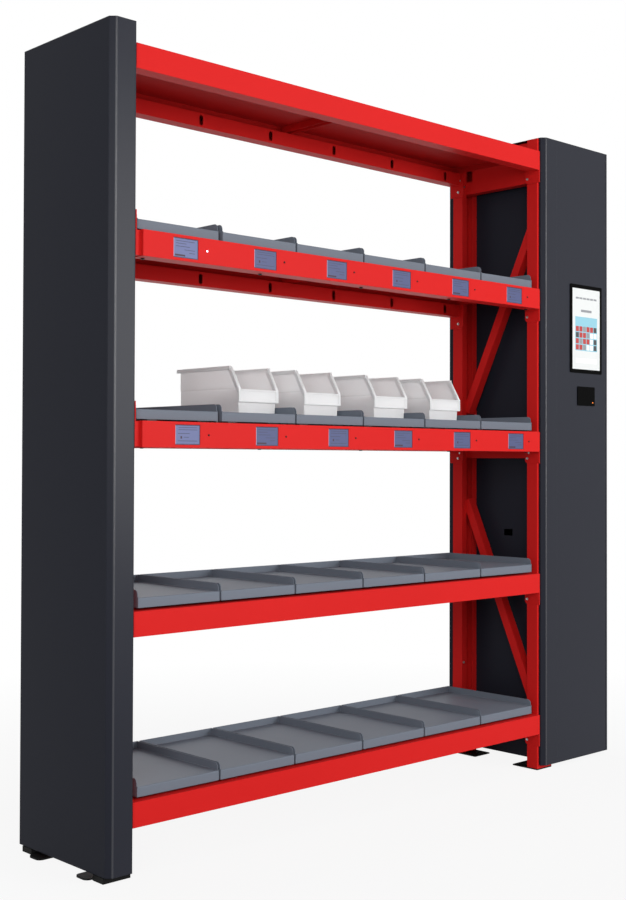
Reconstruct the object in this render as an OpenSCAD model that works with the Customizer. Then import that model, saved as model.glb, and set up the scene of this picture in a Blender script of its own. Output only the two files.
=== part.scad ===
// Parts cabinet with weighing trays: a boltless rack between a slim casing and an electronics cabinet.
// Millimetres, Z up, front towards -Y, origin on the floor under the middle of the whole.

/* [Upright frames] */
// Clear width between the two upright frames
bay_w = 1570; // [1450:5:1900]
// Width of an upright across the bay
upright_w = 75; // [65:1:100]
// Depth of an upright from front to back
upright_d = 40; // [34:1:46]
// Sheet of the uprights and braces
upright_t = 2; // [1.5:0.5:3]
// Width of each inturned lip of an upright
upright_lip = 22; // [12:1:26]
// Part of an upright that shows past the casing beside it
upright_reveal = 8; // [5:1:18]
// Front uprights behind the casing fronts
front_setback = 20; // [18:1:26]
// Rear uprights ahead of the casing rears
rear_setback = 30; // [26:1:40]

/* [Braces] */
// Height of the top brace
brace_top_h = 132; // [60:1:140]
// Height of the middle and low braces
brace_h = 34; // [26:1:50]
// Width of a diagonal
diagonal_w = 27; // [22:1:36]
// Top of the top brace below the tops of the uprights
brace_top_drop = 2; // [1:1:20]
// Middle of the middle brace above the floor
brace_mid_z = 1007; // [900:1:1100]
// Middle of the low brace above the floor
brace_low_z = 130; // [100:1:150]
// Front end of the upper diagonal below the top brace
upper_front_drop = 136; // [100:1:200]
// Rear end of the upper diagonal above the middle brace
upper_rear_rise = 138; // [100:1:200]
// Rear end of the lower diagonal below the middle brace
lower_rear_drop = 158; // [100:1:200]
// Front end of the lower diagonal above the low brace
lower_front_rise = 80; // [60:1:140]
// Ends of the braces short of the webs of the uprights
brace_end_gap = 3; // [1:1:8]
// Length of the opening at the rear of a top brace
opening_l = 30; // [20:1:40]
// Height of the opening at the rear of a top brace
opening_h = 38; // [20:1:50]
// Top of that opening below the top of its brace
opening_drop = 52; // [20:1:60]
// Front of that opening ahead of the rear upright
opening_ahead = 24; // [10:1:40]

/* [Base plates] */
// How far the base plates reach past the casing side
base_over = 15; // [8:1:25]
// Length of a base plate from front to back
base_d = 97; // [85:1:110]
// Thickness of a base plate
base_t = 4; // [3:0.5:6]
// Corner radius of a base plate
base_r = 15; // [8:1:20]
// Gap from an upright to the outer ear of its base plate
ear_gap = 6; // [3:1:12]
// Gap between the shoe of an upright and the casing over it
shoe_gap = 1; // [0.5:0.5:3]
// Sheet of that shoe
shoe_t = 2; // [1.5:0.5:3]
// Radius of an anchor hole
anchor_r = 6; // [5:0.5:7]
// Anchor hole in from the bay edge of a base plate
anchor_inset = 25; // [18:1:35]

/* [Levels] */
// Beam top of the lowest level above the floor
level_1_top = 176; // [150:1:200]
// Beam top of the second level above the floor
level_2_top = 623; // [560:1:690]
// Beam top of the third level above the floor
level_3_top = 1072; // [1000:1:1140]
// Beam top of the fourth level above the floor
level_4_top = 1525; // [1460:1:1590]
// Beam top of the top level below the casing tops
top_level_drop = 46; // [42:1:80]

/* [Beams] */
// Height of a beam
beam_h = 60; // [56:1:80]
// Depth of a beam
beam_d = 40; // [36:1:46]
// Sheet of a beam
beam_t = 2; // [1.5:0.5:3]
// Height of the step that a deck lies in
step_h = 20; // [16:1:26]
// Depth of the step that a deck lies on
step_d = 18; // [14:1:22]
// Beam face ahead of the upright face
beam_proud = 10; // [6:1:11]
// Thickness of the plates at the beam ends
end_plate_t = 3; // [2:0.5:5]
// Width of the plates at the beam ends
end_plate_w = 56; // [46:1:60]
// Reach of an end plate below its beam
end_plate_over = 39; // [25:1:45]
// Reach of the left end plates above the beams with label rails
end_plate_up = 48; // [25:1:55]
// Corner radius of an end plate
end_plate_r = 12; // [6:1:18]
// Width of a cable slot in the rear beams
slot_w = 13; // [8:0.5:16]
// Height of a cable slot in the rear beams
slot_h = 28; // [18:1:32]
// Half a cable slot space beyond the first and the last tray place
slot_end_gap = 8; // [4:1:40]
// Cable slots right of the middle of the bay
slot_shift = 61; // [0:1:70]

/* [Decks] */
// Sheet of the decks and ties
deck_t = 1.2; // [0.8:0.1:2]
// Gap around a deck
deck_gap = 0.5; // [0.3:0.1:1.5]
// Width of the tie under a deck
tie_w = 25; // [20:1:60]

/* [Label rails] */
// Sheet of the label rails
rail_t = 1.5; // [1.3:0.1:2]
// Label rail short of the upright at each end
rail_end_gap = 15; // [6:1:20]
// Gap under a beam in its label rail
rail_fit = 0.2; // [0.1:0.1:0.5]
// How far a rail reaches back over its beam
rail_over = 12; // [6:1:13]
// How far a rail reaches back under its beam
rail_under = 38; // [30:1:40]
// Width of a label window
window_w = 76; // [60:1:90]
// Height of a label window
window_h = 49; // [40:1:50]
// Label places in from the ends of the bay
label_end_gap = 14; // [8:1:40]
// Labels of the lower rail to the right of the middle
label_shift = 8; // [0:1:12]
// Overlap of a label behind the edge of its window
label_lap = 2; // [1:0.5:3]
// Gap between a label and its window
label_gap = 0.3; // [0.2:0.1:0.6]
// Label face behind the rail face
label_sink = 1.2; // [0.3:0.1:1.2]
// Distance from a label to the lamp beside it
lamp_offset = 65; // [56:1:80]
// Radius of an indicator lamp
lamp_r = 2.4; // [1.5:0.1:4]
// Indicator lamp ahead of the rail face
lamp_proud = 0.8; // [0.4:0.1:1.5]
// Radius of a rail fixing hole
rail_hole_r = 4; // [3:0.5:5]
// Outer rail fixing holes in from the rail ends
rail_hole_inset = 24; // [20:1:60]
// Rail fixing holes behind the beam face
rail_hole_back = 26; // [20:1:30]

/* [Trays] */
// Tray places in from the ends of the bay
tray_end_gap = 20; // [12:1:40]
// Gap between trays
tray_gap = 6; // [3:1:10]
// First trays of the levels with label rails, set to the left
first_tray_shift = 8; // [0:1:10]
// Depth of a tray
tray_d = 345; // [300:1:350]
// Sheet of a tray
tray_t = 1.5; // [1:0.1:2.5]
// Tray front behind the casing fronts
tray_setback = 25; // [24:1:30]
// Height of the turned-down front of a tray
apron_h = 24; // [20:1:31]
// Tray front above its beam
apron_gap = 6; // [4:0.5:9]
// Length of the turned-back ends of the front
return_l = 25; // [15:1:40]
// Height of the tray walls above the tray floor
wall_h = 19; // [16:1:40]
// Radius of the top front corners of the tray walls
wall_r = 12; // [3:1:12]
// Inside radius of the tray bends
bend_r = 1.5; // [0.5:0.5:3]

/* [Weighing] */
// Length of a load cell
cell_l = 130; // [90:1:160]
// Width of a load cell
cell_w = 30; // [24:1:40]
// Height of a load cell
cell_h = 22; // [16:1:22]
// Radius of the bores that thin a load cell
cell_bore_r = 7; // [4:0.5:7.5]
// Distance between the bores of a load cell
cell_bore_pitch = 26; // [18:1:36]
// Length of the pad at each end of a load cell
cell_pad_l = 38; // [25:1:44]
// Thickness of a weigh plate
plate_t = 2.5; // [1.5:0.5:3]
// Width of a weigh plate
plate_w = 170; // [120:5:190]
// Length of a weigh plate
plate_l = 250; // [180:5:290]

/* [Bins] */
// Width of a bin
bin_w = 138; // [110:1:160]
// Length of a bin
bin_l = 260; // [220:5:280]
// Height of a bin
bin_h = 123; // [100:1:150]
// Wall of a bin
bin_t = 2.5; // [1.5:0.1:3.5]
// Height of the bin front
bin_front_h = 63; // [50:1:80]
// Height of the label band at the bin front
band_h = 33; // [20:1:40]
// Foot of a bin behind its label band
bin_foot_in = 8; // [4:1:14]
// Set-in of each side at the base of a bin
bin_draft = 4; // [2:0.5:8]
// Ledge around the sides of a bin
bin_ledge = 1; // [0.5:0.1:1.5]
// Ledge below the rim of a bin
ledge_drop = 49; // [35:1:60]
// Set-back of the rim at the sloping front
bin_slope = 36; // [20:1:50]
// Rim past the sides of a bin
rim_w = 4; // [1.5:0.5:6]
// Rim past the rear of a bin
rim_rear = 9; // [4:0.5:12]
// Height of the rim around a bin
rim_h = 8; // [4:0.5:12]
// Width of the thick edges along the sloping front
edge_w = 9; // [6:0.5:12]
// Depth of the label recess in the label band
recess_t = 1; // [0.4:0.1:1.5]
// Bin front behind the tray front
bin_back = 45; // [20:1:60]
// Bins right of the middles of their trays
bin_shifts = [37, 14, 32, 15];

/* [Casings] */
// Height of both casings
casing_h = 2000; // [1850:5:2300]
// Depth from the casing fronts to the hinges
casing_d = 400; // [400:5:460]
// Casings above the floor
ground_gap = 15; // [8:1:40]
// Sheet of the casings
casing_t = 1.5; // [1:0.1:2]
// Bevel along the casing edges
bevel = 13; // [6:1:13]
// Inturned edge of the left casing
casing_lip = 15; // [14:1:16]
// Width of the cabinet with its door
cabinet_w = 350; // [330:1:420]
// Flange around the door opening
door_flange = 20; // [14:1:22]
// Uprights below the casing top sheets
top_gap = 0.5; // [0.3:0.1:2]

/* [Console] */
// Width of the screen bezel
screen_w = 177; // [150:1:200]
// Height of the screen bezel
screen_h = 290; // [240:1:330]
// Middle of the screen above the floor
screen_z = 1415; // [1390:1:1500]
// Middle of the screen right of the cabinet's left edge
screen_x = 228; // [200:1:230]
// Bezel and reader ahead of the casing fronts
console_proud = 2.5; // [1.5:0.1:4]
// Corner radius of the bezel
screen_r = 4; // [2:0.5:8]
// Margin beside the glass
glass_margin_x = 12; // [8:0.5:20]
// Margin above and below the glass
glass_margin_z = 12.5; // [8:0.5:20]
// Thickness of the glass
glass_t = 1.5; // [1:0.1:2]
// Glass behind the bezel face
glass_sink = 0.4; // [0.2:0.1:0.6]
// Depth of the screen housing behind the front panel
screen_d = 42; // [30:1:50]
// Overlap of the bezel and the reader on the panel
console_lap = 5; // [3:0.5:8]
// Gap around a housing in its cut-out
console_gap = 0.4; // [0.2:0.1:1]
// Width of the card reader
reader_w = 96; // [80:1:120]
// Height of the card reader
reader_h = 62.5; // [50:0.5:75]
// Middle of the card reader above the floor
reader_z = 1194.5; // [1150:0.5:1210]
// Depth of the card reader behind the front panel
reader_d = 24; // [15:1:40]
// Corner radius of the card reader
reader_r = 3; // [1:0.5:6]
// Lamp of the card reader in from its corner
reader_lamp_inset = 11; // [8:0.5:16]
// Radius of the lamp of the card reader
reader_lamp_r = 2.2; // [1.5:0.1:3]

/* [Service door] */
// Thickness of the door
door_t = 8; // [8:0.5:12]
// Turned edges inside the door
door_lip = 12; // [8:1:16]
// Thickness of the door seal
seal_t = 2; // [1:0.5:4]
// Width of the door seal
seal_w = 10; // [6:1:12]
// Radius of the hinge knuckles
knuckle_r = 4; // [3.8:0.1:4]
// Radius of a hinge pin
pin_r = 1.6; // [1.2:0.1:1.7]
// Gap between a hinge pin and its bore
pin_gap = 0.3; // [0.2:0.1:0.4]
// Head of a hinge pin past its shank
pin_head_over = 1.2; // [0.8:0.1:1.6]
// Thickness of the head of a hinge pin
pin_head_t = 1.5; // [1:0.1:2]
// Length of the door's knuckle
knuckle_l = 24; // [16:1:40]
// Length of the knuckles on the cabinet
fixed_knuckle_l = 16; // [10:1:30]
// Gap between knuckles, and between door and knuckles
hinge_gap = 0.5; // [0.4:0.1:1]
// Hinges in from the ends of the door
hinge_inset = 220; // [120:5:400]
// Sheet of the hinge leaves
leaf_t = 1.5; // [1:0.1:1.8]
// Length of the leaves on the cabinet
leaf_l = 28; // [18:1:40]
// Lock above the floor
lock_z = 1542; // [1200:1:1600]
// Lock behind the casing front
lock_back = 34; // [32:1:45]
// Radius of the lock barrel
lock_r = 8; // [6:0.5:8]
// Radius of the lock head
lock_head_r = 11; // [10:0.5:14]
// Thickness of the lock head
lock_head_t = 2.5; // [1.5:0.5:4]
// Length of the lock cam from its axis
cam_l = 24; // [22:1:28]
// Width of the lock cam
cam_w = 12; // [8:1:14]
// Thickness of the lock cam
cam_t = 2.5; // [2:0.5:4]
// Gap between the lock and what it passes
lock_gap = 0.4; // [0.3:0.1:0.8]

/* [Inside the cabinet] */
// Width of the equipment plate
equip_w = 220; // [190:1:240]
// Height of the equipment plate
equip_h = 640; // [600:1:700]
// Middle of the equipment plate above the floor
equip_z = 1150; // [1100:1:1250]
// Equipment plate off the side panel
equip_off = 12; // [8:1:20]
// Thickness of the equipment plate
equip_t = 2; // [1.5:0.5:3]
// Equipment in from the ends of its plate
equip_margin = 12; // [6:1:20]
// Radius of the posts of the equipment plate
post_r = 6; // [4:0.5:8]
// Width of the cable slot in the side panel
cable_w = 35; // [20:1:50]
// Height of the cable slot in the side panel
cable_h = 21; // [12:1:30]
// Middle of the cable slot above the floor
cable_z = 744.5; // [700:0.5:800]
// Middle of the cable slot behind the casing front
cable_back = 194.5; // [150:0.5:220]
// Height of the control computer
computer_h = 190; // [150:1:200]
// Width of the control computer
computer_w = 160; // [120:1:180]
// Depth of the control computer without its fins
computer_d = 30; // [24:1:40]
// Height of the cooling fins
fin_h = 14; // [8:1:20]
// Thickness of a cooling fin
fin_t = 2; // [1.5:0.5:3]
// Number of cooling fins
fin_n = 12; // [6:1:14]
// Height of the weighing hub
hub_h = 140; // [110:1:150]
// Width of the weighing hub
hub_w = 170; // [140:1:190]
// Depth of the weighing hub
hub_d = 32; // [24:1:40]
// Number of plug sockets on the weighing hub
hub_sockets = 12; // [8:4:16]
// Height of the power supply
supply_h = 180; // [150:1:190]
// Width of the power supply
supply_w = 110; // [90:1:130]
// Depth of the power supply
supply_d = 42; // [30:1:50]
// Width of the power inlet
inlet_w = 50; // [46:1:56]
// Height of the power inlet
inlet_h = 32; // [28:1:36]
// Power inlet above the foot of the cabinet
inlet_rise = 90; // [50:1:200]
// Thickness of the inlet flange
inlet_t = 3; // [2:0.5:5]

/* [Hidden] */
$fn = 48;
tray_rows = [1, 2, 3, 4];
trays_per_row = 6;
bin_row = 3;
first_bin_tray = 2;
bins = [1, 2, 3, 4];
hinges = [0, 1, 2];
past = 1;

left_reach = bay_w / 2 + upright_w + casing_t + base_over;
right_reach = bay_w / 2 + upright_reveal + cabinet_w + lock_head_t;
bay_x = (left_reach - right_reach) / 2;
bay_left = bay_x - bay_w / 2;
bay_right = bay_x + bay_w / 2;
front_y = (console_proud - casing_d) / 2;
casing_top = ground_gap + casing_h;

front_upright_y = front_y + front_setback;
rear_upright_y = front_y + casing_d - rear_setback;
upright_h = casing_top - casing_t - top_gap - base_t;
upright_top = base_t + upright_h;
front_beam_y = front_upright_y - beam_proud;
rear_beam_y = rear_upright_y + beam_proud;
beam_l = bay_w - 2 * end_plate_t;
level_tops = [level_1_top, level_2_top, level_3_top, level_4_top, casing_top - top_level_drop];
levels = [1, 2, 3, 4, 5];
rail_levels = [3, 4];

brace_w = upright_w - 2 * upright_lip;
brace_x = bay_left - upright_w + upright_lip;
brace_front = front_upright_y + upright_t + brace_end_gap;
brace_rear = rear_upright_y - upright_t - brace_end_gap;
brace_top_z = upright_top - brace_top_drop - brace_top_h / 2;
opening_y = rear_upright_y - upright_d - opening_ahead;
diagonal_front = front_upright_y + upright_d - brace_end_gap;
diagonal_rear = rear_upright_y - upright_d + brace_end_gap;

base_w = upright_w + casing_t + base_over;
anchor_y = (upright_d + base_d) / 2;

deck_front = front_beam_y + beam_d - step_d + deck_gap;
deck_rear = rear_beam_y - beam_d + step_d - deck_gap;
deck_left = bay_left + end_plate_t + deck_gap;
deck_l = bay_w - 2 * end_plate_t - 2 * deck_gap;
slot_pitch = (bay_w - 2 * slot_end_gap) / trays_per_row;

rail_d = front_beam_y - front_y;
rail_h = beam_h + rail_fit + 2 * rail_t;
rail_left = bay_left + rail_end_gap;
rail_l = bay_w - 2 * rail_end_gap;
label_pitch = (bay_w - 2 * label_end_gap) / trays_per_row;
rail_holes = 5;
rail_hole_pitch = (rail_l - 2 * rail_hole_inset) / (rail_holes - 1);
lamp_gap = 0.1;
lamp_flange = 1.2;

tray_pitch = (bay_w - 2 * tray_end_gap) / trays_per_row;
tray_w = tray_pitch - tray_gap;
tray_y = front_y + tray_setback;
tray_mid_y = tray_y + tray_d / 2;
floor_rise = apron_gap + apron_h - tray_t;
bend_out = bend_r + tray_t;
pad_h = (floor_rise - cell_h - plate_t) / 2;
bin_half = bin_w / 2 - rim_w;
bin_rear = bin_l - rim_rear;
band_z = bin_front_h - band_h;
ledge_z = bin_h - rim_h - ledge_drop;
recess_r = 4;

left_casing_w = upright_w + casing_t - upright_reveal;
casing_left = bay_left - upright_w - casing_t;
bevel_in = casing_t * (sqrt(2) - 1);
cabinet_left = bay_right + upright_reveal;
side_panel_x = bay_right + upright_w;
door_out = cabinet_left + cabinet_w;
door_in = door_out - door_t;
shell_right = door_in - seal_t;
shell_rear = front_y + casing_d - 2 * knuckle_r;
front_lip_y = front_upright_y - 2 * top_gap;
hinge_x = door_in + door_t / 2;
hinge_y = shell_rear + knuckle_r;
door_rear = shell_rear - hinge_gap;
bore_r = pin_r + pin_gap;
hinge_low = ground_gap + hinge_inset;
hinge_pitch = (casing_h - 2 * hinge_inset) / 2;
pin_head_r = pin_r + pin_head_over;
lock_y = front_y + lock_back;
cam_x = shell_right - casing_t - lock_gap - cam_t;

screen_mid = cabinet_left + screen_x;
inside_x = side_panel_x + casing_t;
equip_x = inside_x + equip_off;
equip_face = equip_x + equip_t;
equip_y = front_y + casing_d / 2;
computer_z = equip_z + equip_h / 2 - equip_margin - computer_h / 2;
supply_z = equip_z - equip_h / 2 + equip_margin + supply_h / 2;
hub_z = (computer_z - computer_h / 2 + supply_z + supply_h / 2) / 2;
inlet_x = (side_panel_x + shell_right) / 2;
inlet_z = ground_gap + inlet_rise;

red = [0.8, 0.1, 0.1];
charcoal = [0.2, 0.2, 0.22];
tray_grey = [0.45, 0.47, 0.5];
steel = [0.62, 0.63, 0.65];
black = [0.07, 0.07, 0.08];

// Shapes that several pieces share

// Copies its children to the mirrored place at the right of the bay
module other_side() {
    translate([2 * bay_x, 0, 0])
        mirror([1, 0, 0])
            children();
}

// Rectangle about the origin with four round corners
module round_rect(w, h, r) {
    square([w - 2 * r, h], center = true);
    square([w, h - 2 * r], center = true);
    for (x = [-1, 1], y = [-1, 1])
        translate([x * (w / 2 - r), y * (h / 2 - r)])
            circle(r);
}

// Rectangle from the origin with its far upper corner round
module one_round_rect(w, h, r) {
    square([w, h - r]);
    square([w - r, h]);
    translate([w - r, h - r])
        circle(r);
}

// Quarter ring of bent sheet around the origin, in the lower left quadrant
module sheet_bend(t, r) {
    intersection() {
        difference() {
            circle(r + t);
            circle(r);
        }
        translate([-r - t, -r - t])
            square(r + t);
    }
}

// Extrudes a section drawn in Y and Z along +X
module along_x(l) {
    rotate([90, 0, 90])
        linear_extrude(l)
            children();
}

// Extrudes a shape drawn in X and Z along +Y
module along_y(l) {
    translate([0, l, 0])
        rotate([90, 0, 0])
            linear_extrude(l)
                children();
}

// Upright frames

// Plate under a front upright, at an open end with an ear past its outer side and a shoe
module base_plate(open_end) {
    ear_y = upright_d + ear_gap;
    outer = bay_left - upright_w;
    shoe_h = ground_gap - shoe_gap;
    translate([0, front_upright_y, 0]) {
        linear_extrude(base_t)
            difference() {
                union() {
                    translate([outer, 0])
                        square([upright_w, base_d]);
                    if (open_end)
                        translate([bay_left - base_w / 2, (ear_y + base_d) / 2])
                            round_rect(base_w, base_d - ear_y, base_r);
                }
                translate([bay_left - anchor_inset, anchor_y])
                    circle(anchor_r);
            }
        if (open_end)
            translate([outer - shoe_t, -shoe_t, 0]) {
                cube([shoe_t, upright_d + shoe_t, shoe_h]);
                cube([upright_w + shoe_t, shoe_t, shoe_h]);
            }
    }
}

module base_plate_pair(open_end) {
    base_plate(open_end);
    translate([0, front_upright_y + rear_upright_y, 0])
        mirror([0, 1, 0])
            base_plate(open_end);
}

module base_plates() {
    color(black) {
        base_plate_pair(true);
        other_side()
            base_plate_pair(false);
    }
}

// Lipped channel that opens towards +Y
module upright() {
    linear_extrude(upright_h)
        difference() {
            square([upright_w, upright_d]);
            translate([upright_t, upright_t])
                square([upright_w - 2 * upright_t, upright_d - 2 * upright_t]);
            translate([upright_lip, upright_d / 2])
                square([upright_w - 2 * upright_lip, upright_d]);
        }
}

module left_front_upright() {
    color(red)
        translate([bay_left - upright_w, front_upright_y, base_t])
            upright();
}

module left_rear_upright() {
    color(red)
        translate([bay_left - upright_w, rear_upright_y, base_t])
            mirror([0, 1, 0])
                upright();
}

module right_front_upright() {
    other_side()
        left_front_upright();
}

module right_rear_upright() {
    other_side()
        left_rear_upright();
}

// Channel along +Y with its web towards the bay
module brace(l, h) {
    translate([0, 0, -h / 2])
        difference() {
            cube([brace_w, l, h]);
            translate([-upright_t, -past, upright_t])
                cube([brace_w, l + 2 * past, h - 2 * upright_t]);
        }
}

// Diagonal brace from a height at the front to a height at the rear
module diagonal(front_z, rear_z) {
    run = diagonal_rear - diagonal_front;
    rise = rear_z - front_z;
    translate([brace_x, diagonal_front, front_z])
        rotate([atan2(rise, run), 0, 0])
            brace(sqrt(run * run + rise * rise), diagonal_w);
}

module left_braces() {
    color(red) {
        difference() {
            translate([brace_x, brace_front, brace_top_z])
                brace(brace_rear - brace_front, brace_top_h);
            translate([bay_left - upright_lip - 2 * upright_t, opening_y,
                       upright_top - brace_top_drop - opening_drop - opening_h])
                cube([3 * upright_t, opening_l, opening_h]);
        }
        for (z = [brace_mid_z, brace_low_z])
            translate([brace_x, brace_front, z])
                brace(brace_rear - brace_front, brace_h);
        diagonal(brace_top_z - brace_top_h / 2 - upper_front_drop, brace_mid_z + upper_rear_rise);
        diagonal(brace_low_z + lower_front_rise, brace_mid_z - lower_rear_drop);
    }
}

module right_braces() {
    other_side()
        left_braces();
}

// Beams and decks

// Closed step profile of a beam with its face at zero and its step at the back
module beam_section() {
    difference() {
        polygon([[0, 0], [beam_d, 0], [beam_d, beam_h - step_h], [beam_d - step_d, beam_h - step_h],
                 [beam_d - step_d, beam_h], [0, beam_h]]);
        polygon([[beam_t, beam_t], [beam_d - beam_t, beam_t], [beam_d - beam_t, beam_h - step_h - beam_t],
                 [beam_d - step_d - beam_t, beam_h - step_h - beam_t],
                 [beam_d - step_d - beam_t, beam_h - beam_t], [beam_t, beam_h - beam_t]]);
    }
}

// Plate at a beam end with a tab that reaches past the beam above, set back from its face
module end_plate(over, back) {
    along_x(end_plate_t) {
        square([end_plate_w, beam_h]);
        translate([back, 0])
            one_round_rect(end_plate_w - back, beam_h + over, end_plate_r);
    }
}

// End plate with its tab below the beam
module hanging_end_plate(back) {
    translate([0, 0, beam_h])
        mirror([0, 0, 1])
            end_plate(end_plate_over, back);
}

// Front beam with its end plates down, except at the left of the beams with label rails
module step_beam(level) {
    has_rail = level == rail_levels[0] || level == rail_levels[1];
    translate([bay_left, front_beam_y, level_tops[level - 1] - beam_h]) {
        translate([end_plate_t, 0, 0])
            along_x(beam_l)
                beam_section();
        if (has_rail)
            end_plate(end_plate_up, 0);
        else
            hanging_end_plate(beam_proud);
        translate([bay_w - end_plate_t, 0, 0])
            hanging_end_plate(0);
    }
}

module front_beams() {
    color(red)
        for (level = levels)
            step_beam(level);
}

// Upright slot with round ends, cut along +Y
module cable_slot(depth) {
    translate([-slot_w / 2, 0, slot_w / 2 - slot_h / 2])
        cube([slot_w, depth, slot_h - slot_w]);
    for (z = [-1, 1])
        translate([0, 0, z * (slot_h - slot_w) / 2])
            rotate([-90, 0, 0])
                cylinder(r = slot_w / 2, h = depth);
}

module rear_beams() {
    slot_y = rear_beam_y - beam_d;
    color(red)
        for (level = levels)
            difference() {
                translate([0, front_beam_y + rear_beam_y, 0])
                    mirror([0, 1, 0])
                        step_beam(level);
                for (i = [1:trays_per_row])
                    translate([bay_x + slot_shift + (i - (trays_per_row + 1) / 2) * slot_pitch,
                               slot_y - beam_t, level_tops[level - 1] - (beam_h + step_h) / 2])
                        cable_slot(3 * beam_t);
            }
}

// Sheet pan that lies in the steps, flush with the beam tops
module deck_panels() {
    depth = deck_rear - deck_front;
    color(red)
        for (top = level_tops)
            translate([deck_left, deck_front, top - step_h])
                difference() {
                    cube([deck_l, depth, step_h]);
                    translate([deck_t, deck_t, -deck_t])
                        cube([deck_l - 2 * deck_t, depth - 2 * deck_t, step_h]);
                }
}

module deck_ties() {
    tie_front = deck_front + deck_t + deck_gap;
    tie_rear = deck_rear - deck_t - deck_gap;
    tie_h = step_h - deck_t;
    color(red)
        for (top = level_tops)
            translate([bay_x - tie_w / 2, tie_front, top - step_h])
                difference() {
                    cube([tie_w, tie_rear - tie_front, tie_h]);
                    translate([deck_t, -past, -deck_t])
                        cube([tie_w - 2 * deck_t, tie_rear - tie_front + 2 * past, tie_h]);
                }
}

// Label rails with their labels and lamps

// Middle of a label above the floor
function label_z(level) = level_tops[level - 1] - (beam_h + rail_fit) / 2;

// Middle of a label across the bay
function label_x(level, i) =
    bay_x + (level == rail_levels[0] ? label_shift : 0) + (i - (trays_per_row + 1) / 2) * label_pitch;

// Folded fascia that hangs over a beam, closed at its ends
module label_rail(level) {
    bottom = label_z(level) - rail_h / 2;
    difference() {
        translate([rail_left, front_y, bottom]) {
            cube([rail_l, rail_t, rail_h]);
            cube([rail_l, rail_d + rail_under, rail_t]);
            translate([0, 0, rail_h - rail_t])
                cube([rail_l, rail_d + rail_over, rail_t]);
            cube([rail_t, rail_d, rail_h]);
            translate([rail_l - rail_t, 0, 0])
                cube([rail_t, rail_d, rail_h]);
        }
        for (i = [1:trays_per_row]) {
            translate([label_x(level, i) - window_w / 2, front_y - rail_t, label_z(level) - window_h / 2])
                cube([window_w, 3 * rail_t, window_h]);
            translate([label_x(level, i) + lamp_offset, front_y - rail_t, label_z(level)])
                rotate([-90, 0, 0])
                    cylinder(r = lamp_r + lamp_gap, h = 3 * rail_t);
        }
        for (k = [0:rail_holes - 1])
            translate([rail_left + rail_hole_inset + k * rail_hole_pitch, front_beam_y + rail_hole_back,
                       bottom - rail_t])
                cylinder(r = rail_hole_r, h = 3 * rail_t);
    }
}

module label_rails() {
    color(red)
        for (level = rail_levels)
            label_rail(level);
}

module shelf_labels() {
    face_w = window_w - 2 * label_gap;
    face_h = window_h - 2 * label_gap;
    color([0.5, 0.54, 0.7])
        for (level = rail_levels, i = [1:trays_per_row])
            translate([label_x(level, i), front_y, label_z(level)]) {
                translate([-face_w / 2, label_sink, -face_h / 2])
                    cube([face_w, rail_d - label_sink, face_h]);
                translate([-window_w / 2 - label_lap, rail_t, -window_h / 2 - label_lap])
                    cube([window_w + 2 * label_lap, rail_d - rail_t, window_h + 2 * label_lap]);
            }
}

module indicator_lamps() {
    color([0.85, 0.9, 1])
        for (level = rail_levels, i = [1:trays_per_row])
            translate([label_x(level, i) + lamp_offset, front_y, label_z(level)])
                rotate([-90, 0, 0]) {
                    translate([0, 0, -lamp_proud])
                        cylinder(r = lamp_r, h = rail_d + lamp_proud);
                    translate([0, 0, rail_t])
                        cylinder(r = lamp_r + lamp_flange, h = rail_d - rail_t);
                }
}

// Weighing places

// Middle of a tray across the bay
function tray_x(r, i) =
    bay_x + (i - (trays_per_row + 1) / 2) * tray_pitch
    - (i == 1 && r >= rail_levels[0] ? first_tray_shift : 0);

// Beam cell with two joined bores, on a pad at its rear and under a pad at its front
module load_cell() {
    translate([0, 0, pad_h])
        difference() {
            translate([-cell_w / 2, -cell_l / 2, 0])
                cube([cell_w, cell_l, cell_h]);
            for (y = [-1, 1])
                translate([-cell_w, y * cell_bore_pitch / 2, cell_h / 2])
                    rotate([0, 90, 0])
                        cylinder(r = cell_bore_r, h = 2 * cell_w);
            translate([-cell_w, -cell_bore_pitch / 2, cell_h / 2 - cell_bore_r / 3])
                cube([2 * cell_w, cell_bore_pitch, cell_bore_r * 2 / 3]);
        }
    translate([-cell_w / 2, cell_l / 2 - cell_pad_l, 0])
        cube([cell_w, cell_pad_l, pad_h]);
    translate([-cell_w / 2, -cell_l / 2, pad_h + cell_h])
        cube([cell_w, cell_pad_l, pad_h]);
}

module load_cells() {
    color(steel)
        for (r = tray_rows, i = [1:trays_per_row])
            translate([tray_x(r, i), tray_mid_y, level_tops[r - 1]])
                load_cell();
}

module weigh_plates() {
    color(steel)
        for (r = tray_rows, i = [1:trays_per_row])
            translate([tray_x(r, i), tray_mid_y, level_tops[r - 1] + floor_rise - plate_t])
                linear_extrude(plate_t)
                    round_rect(plate_w, plate_l, base_r);
}

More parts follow.
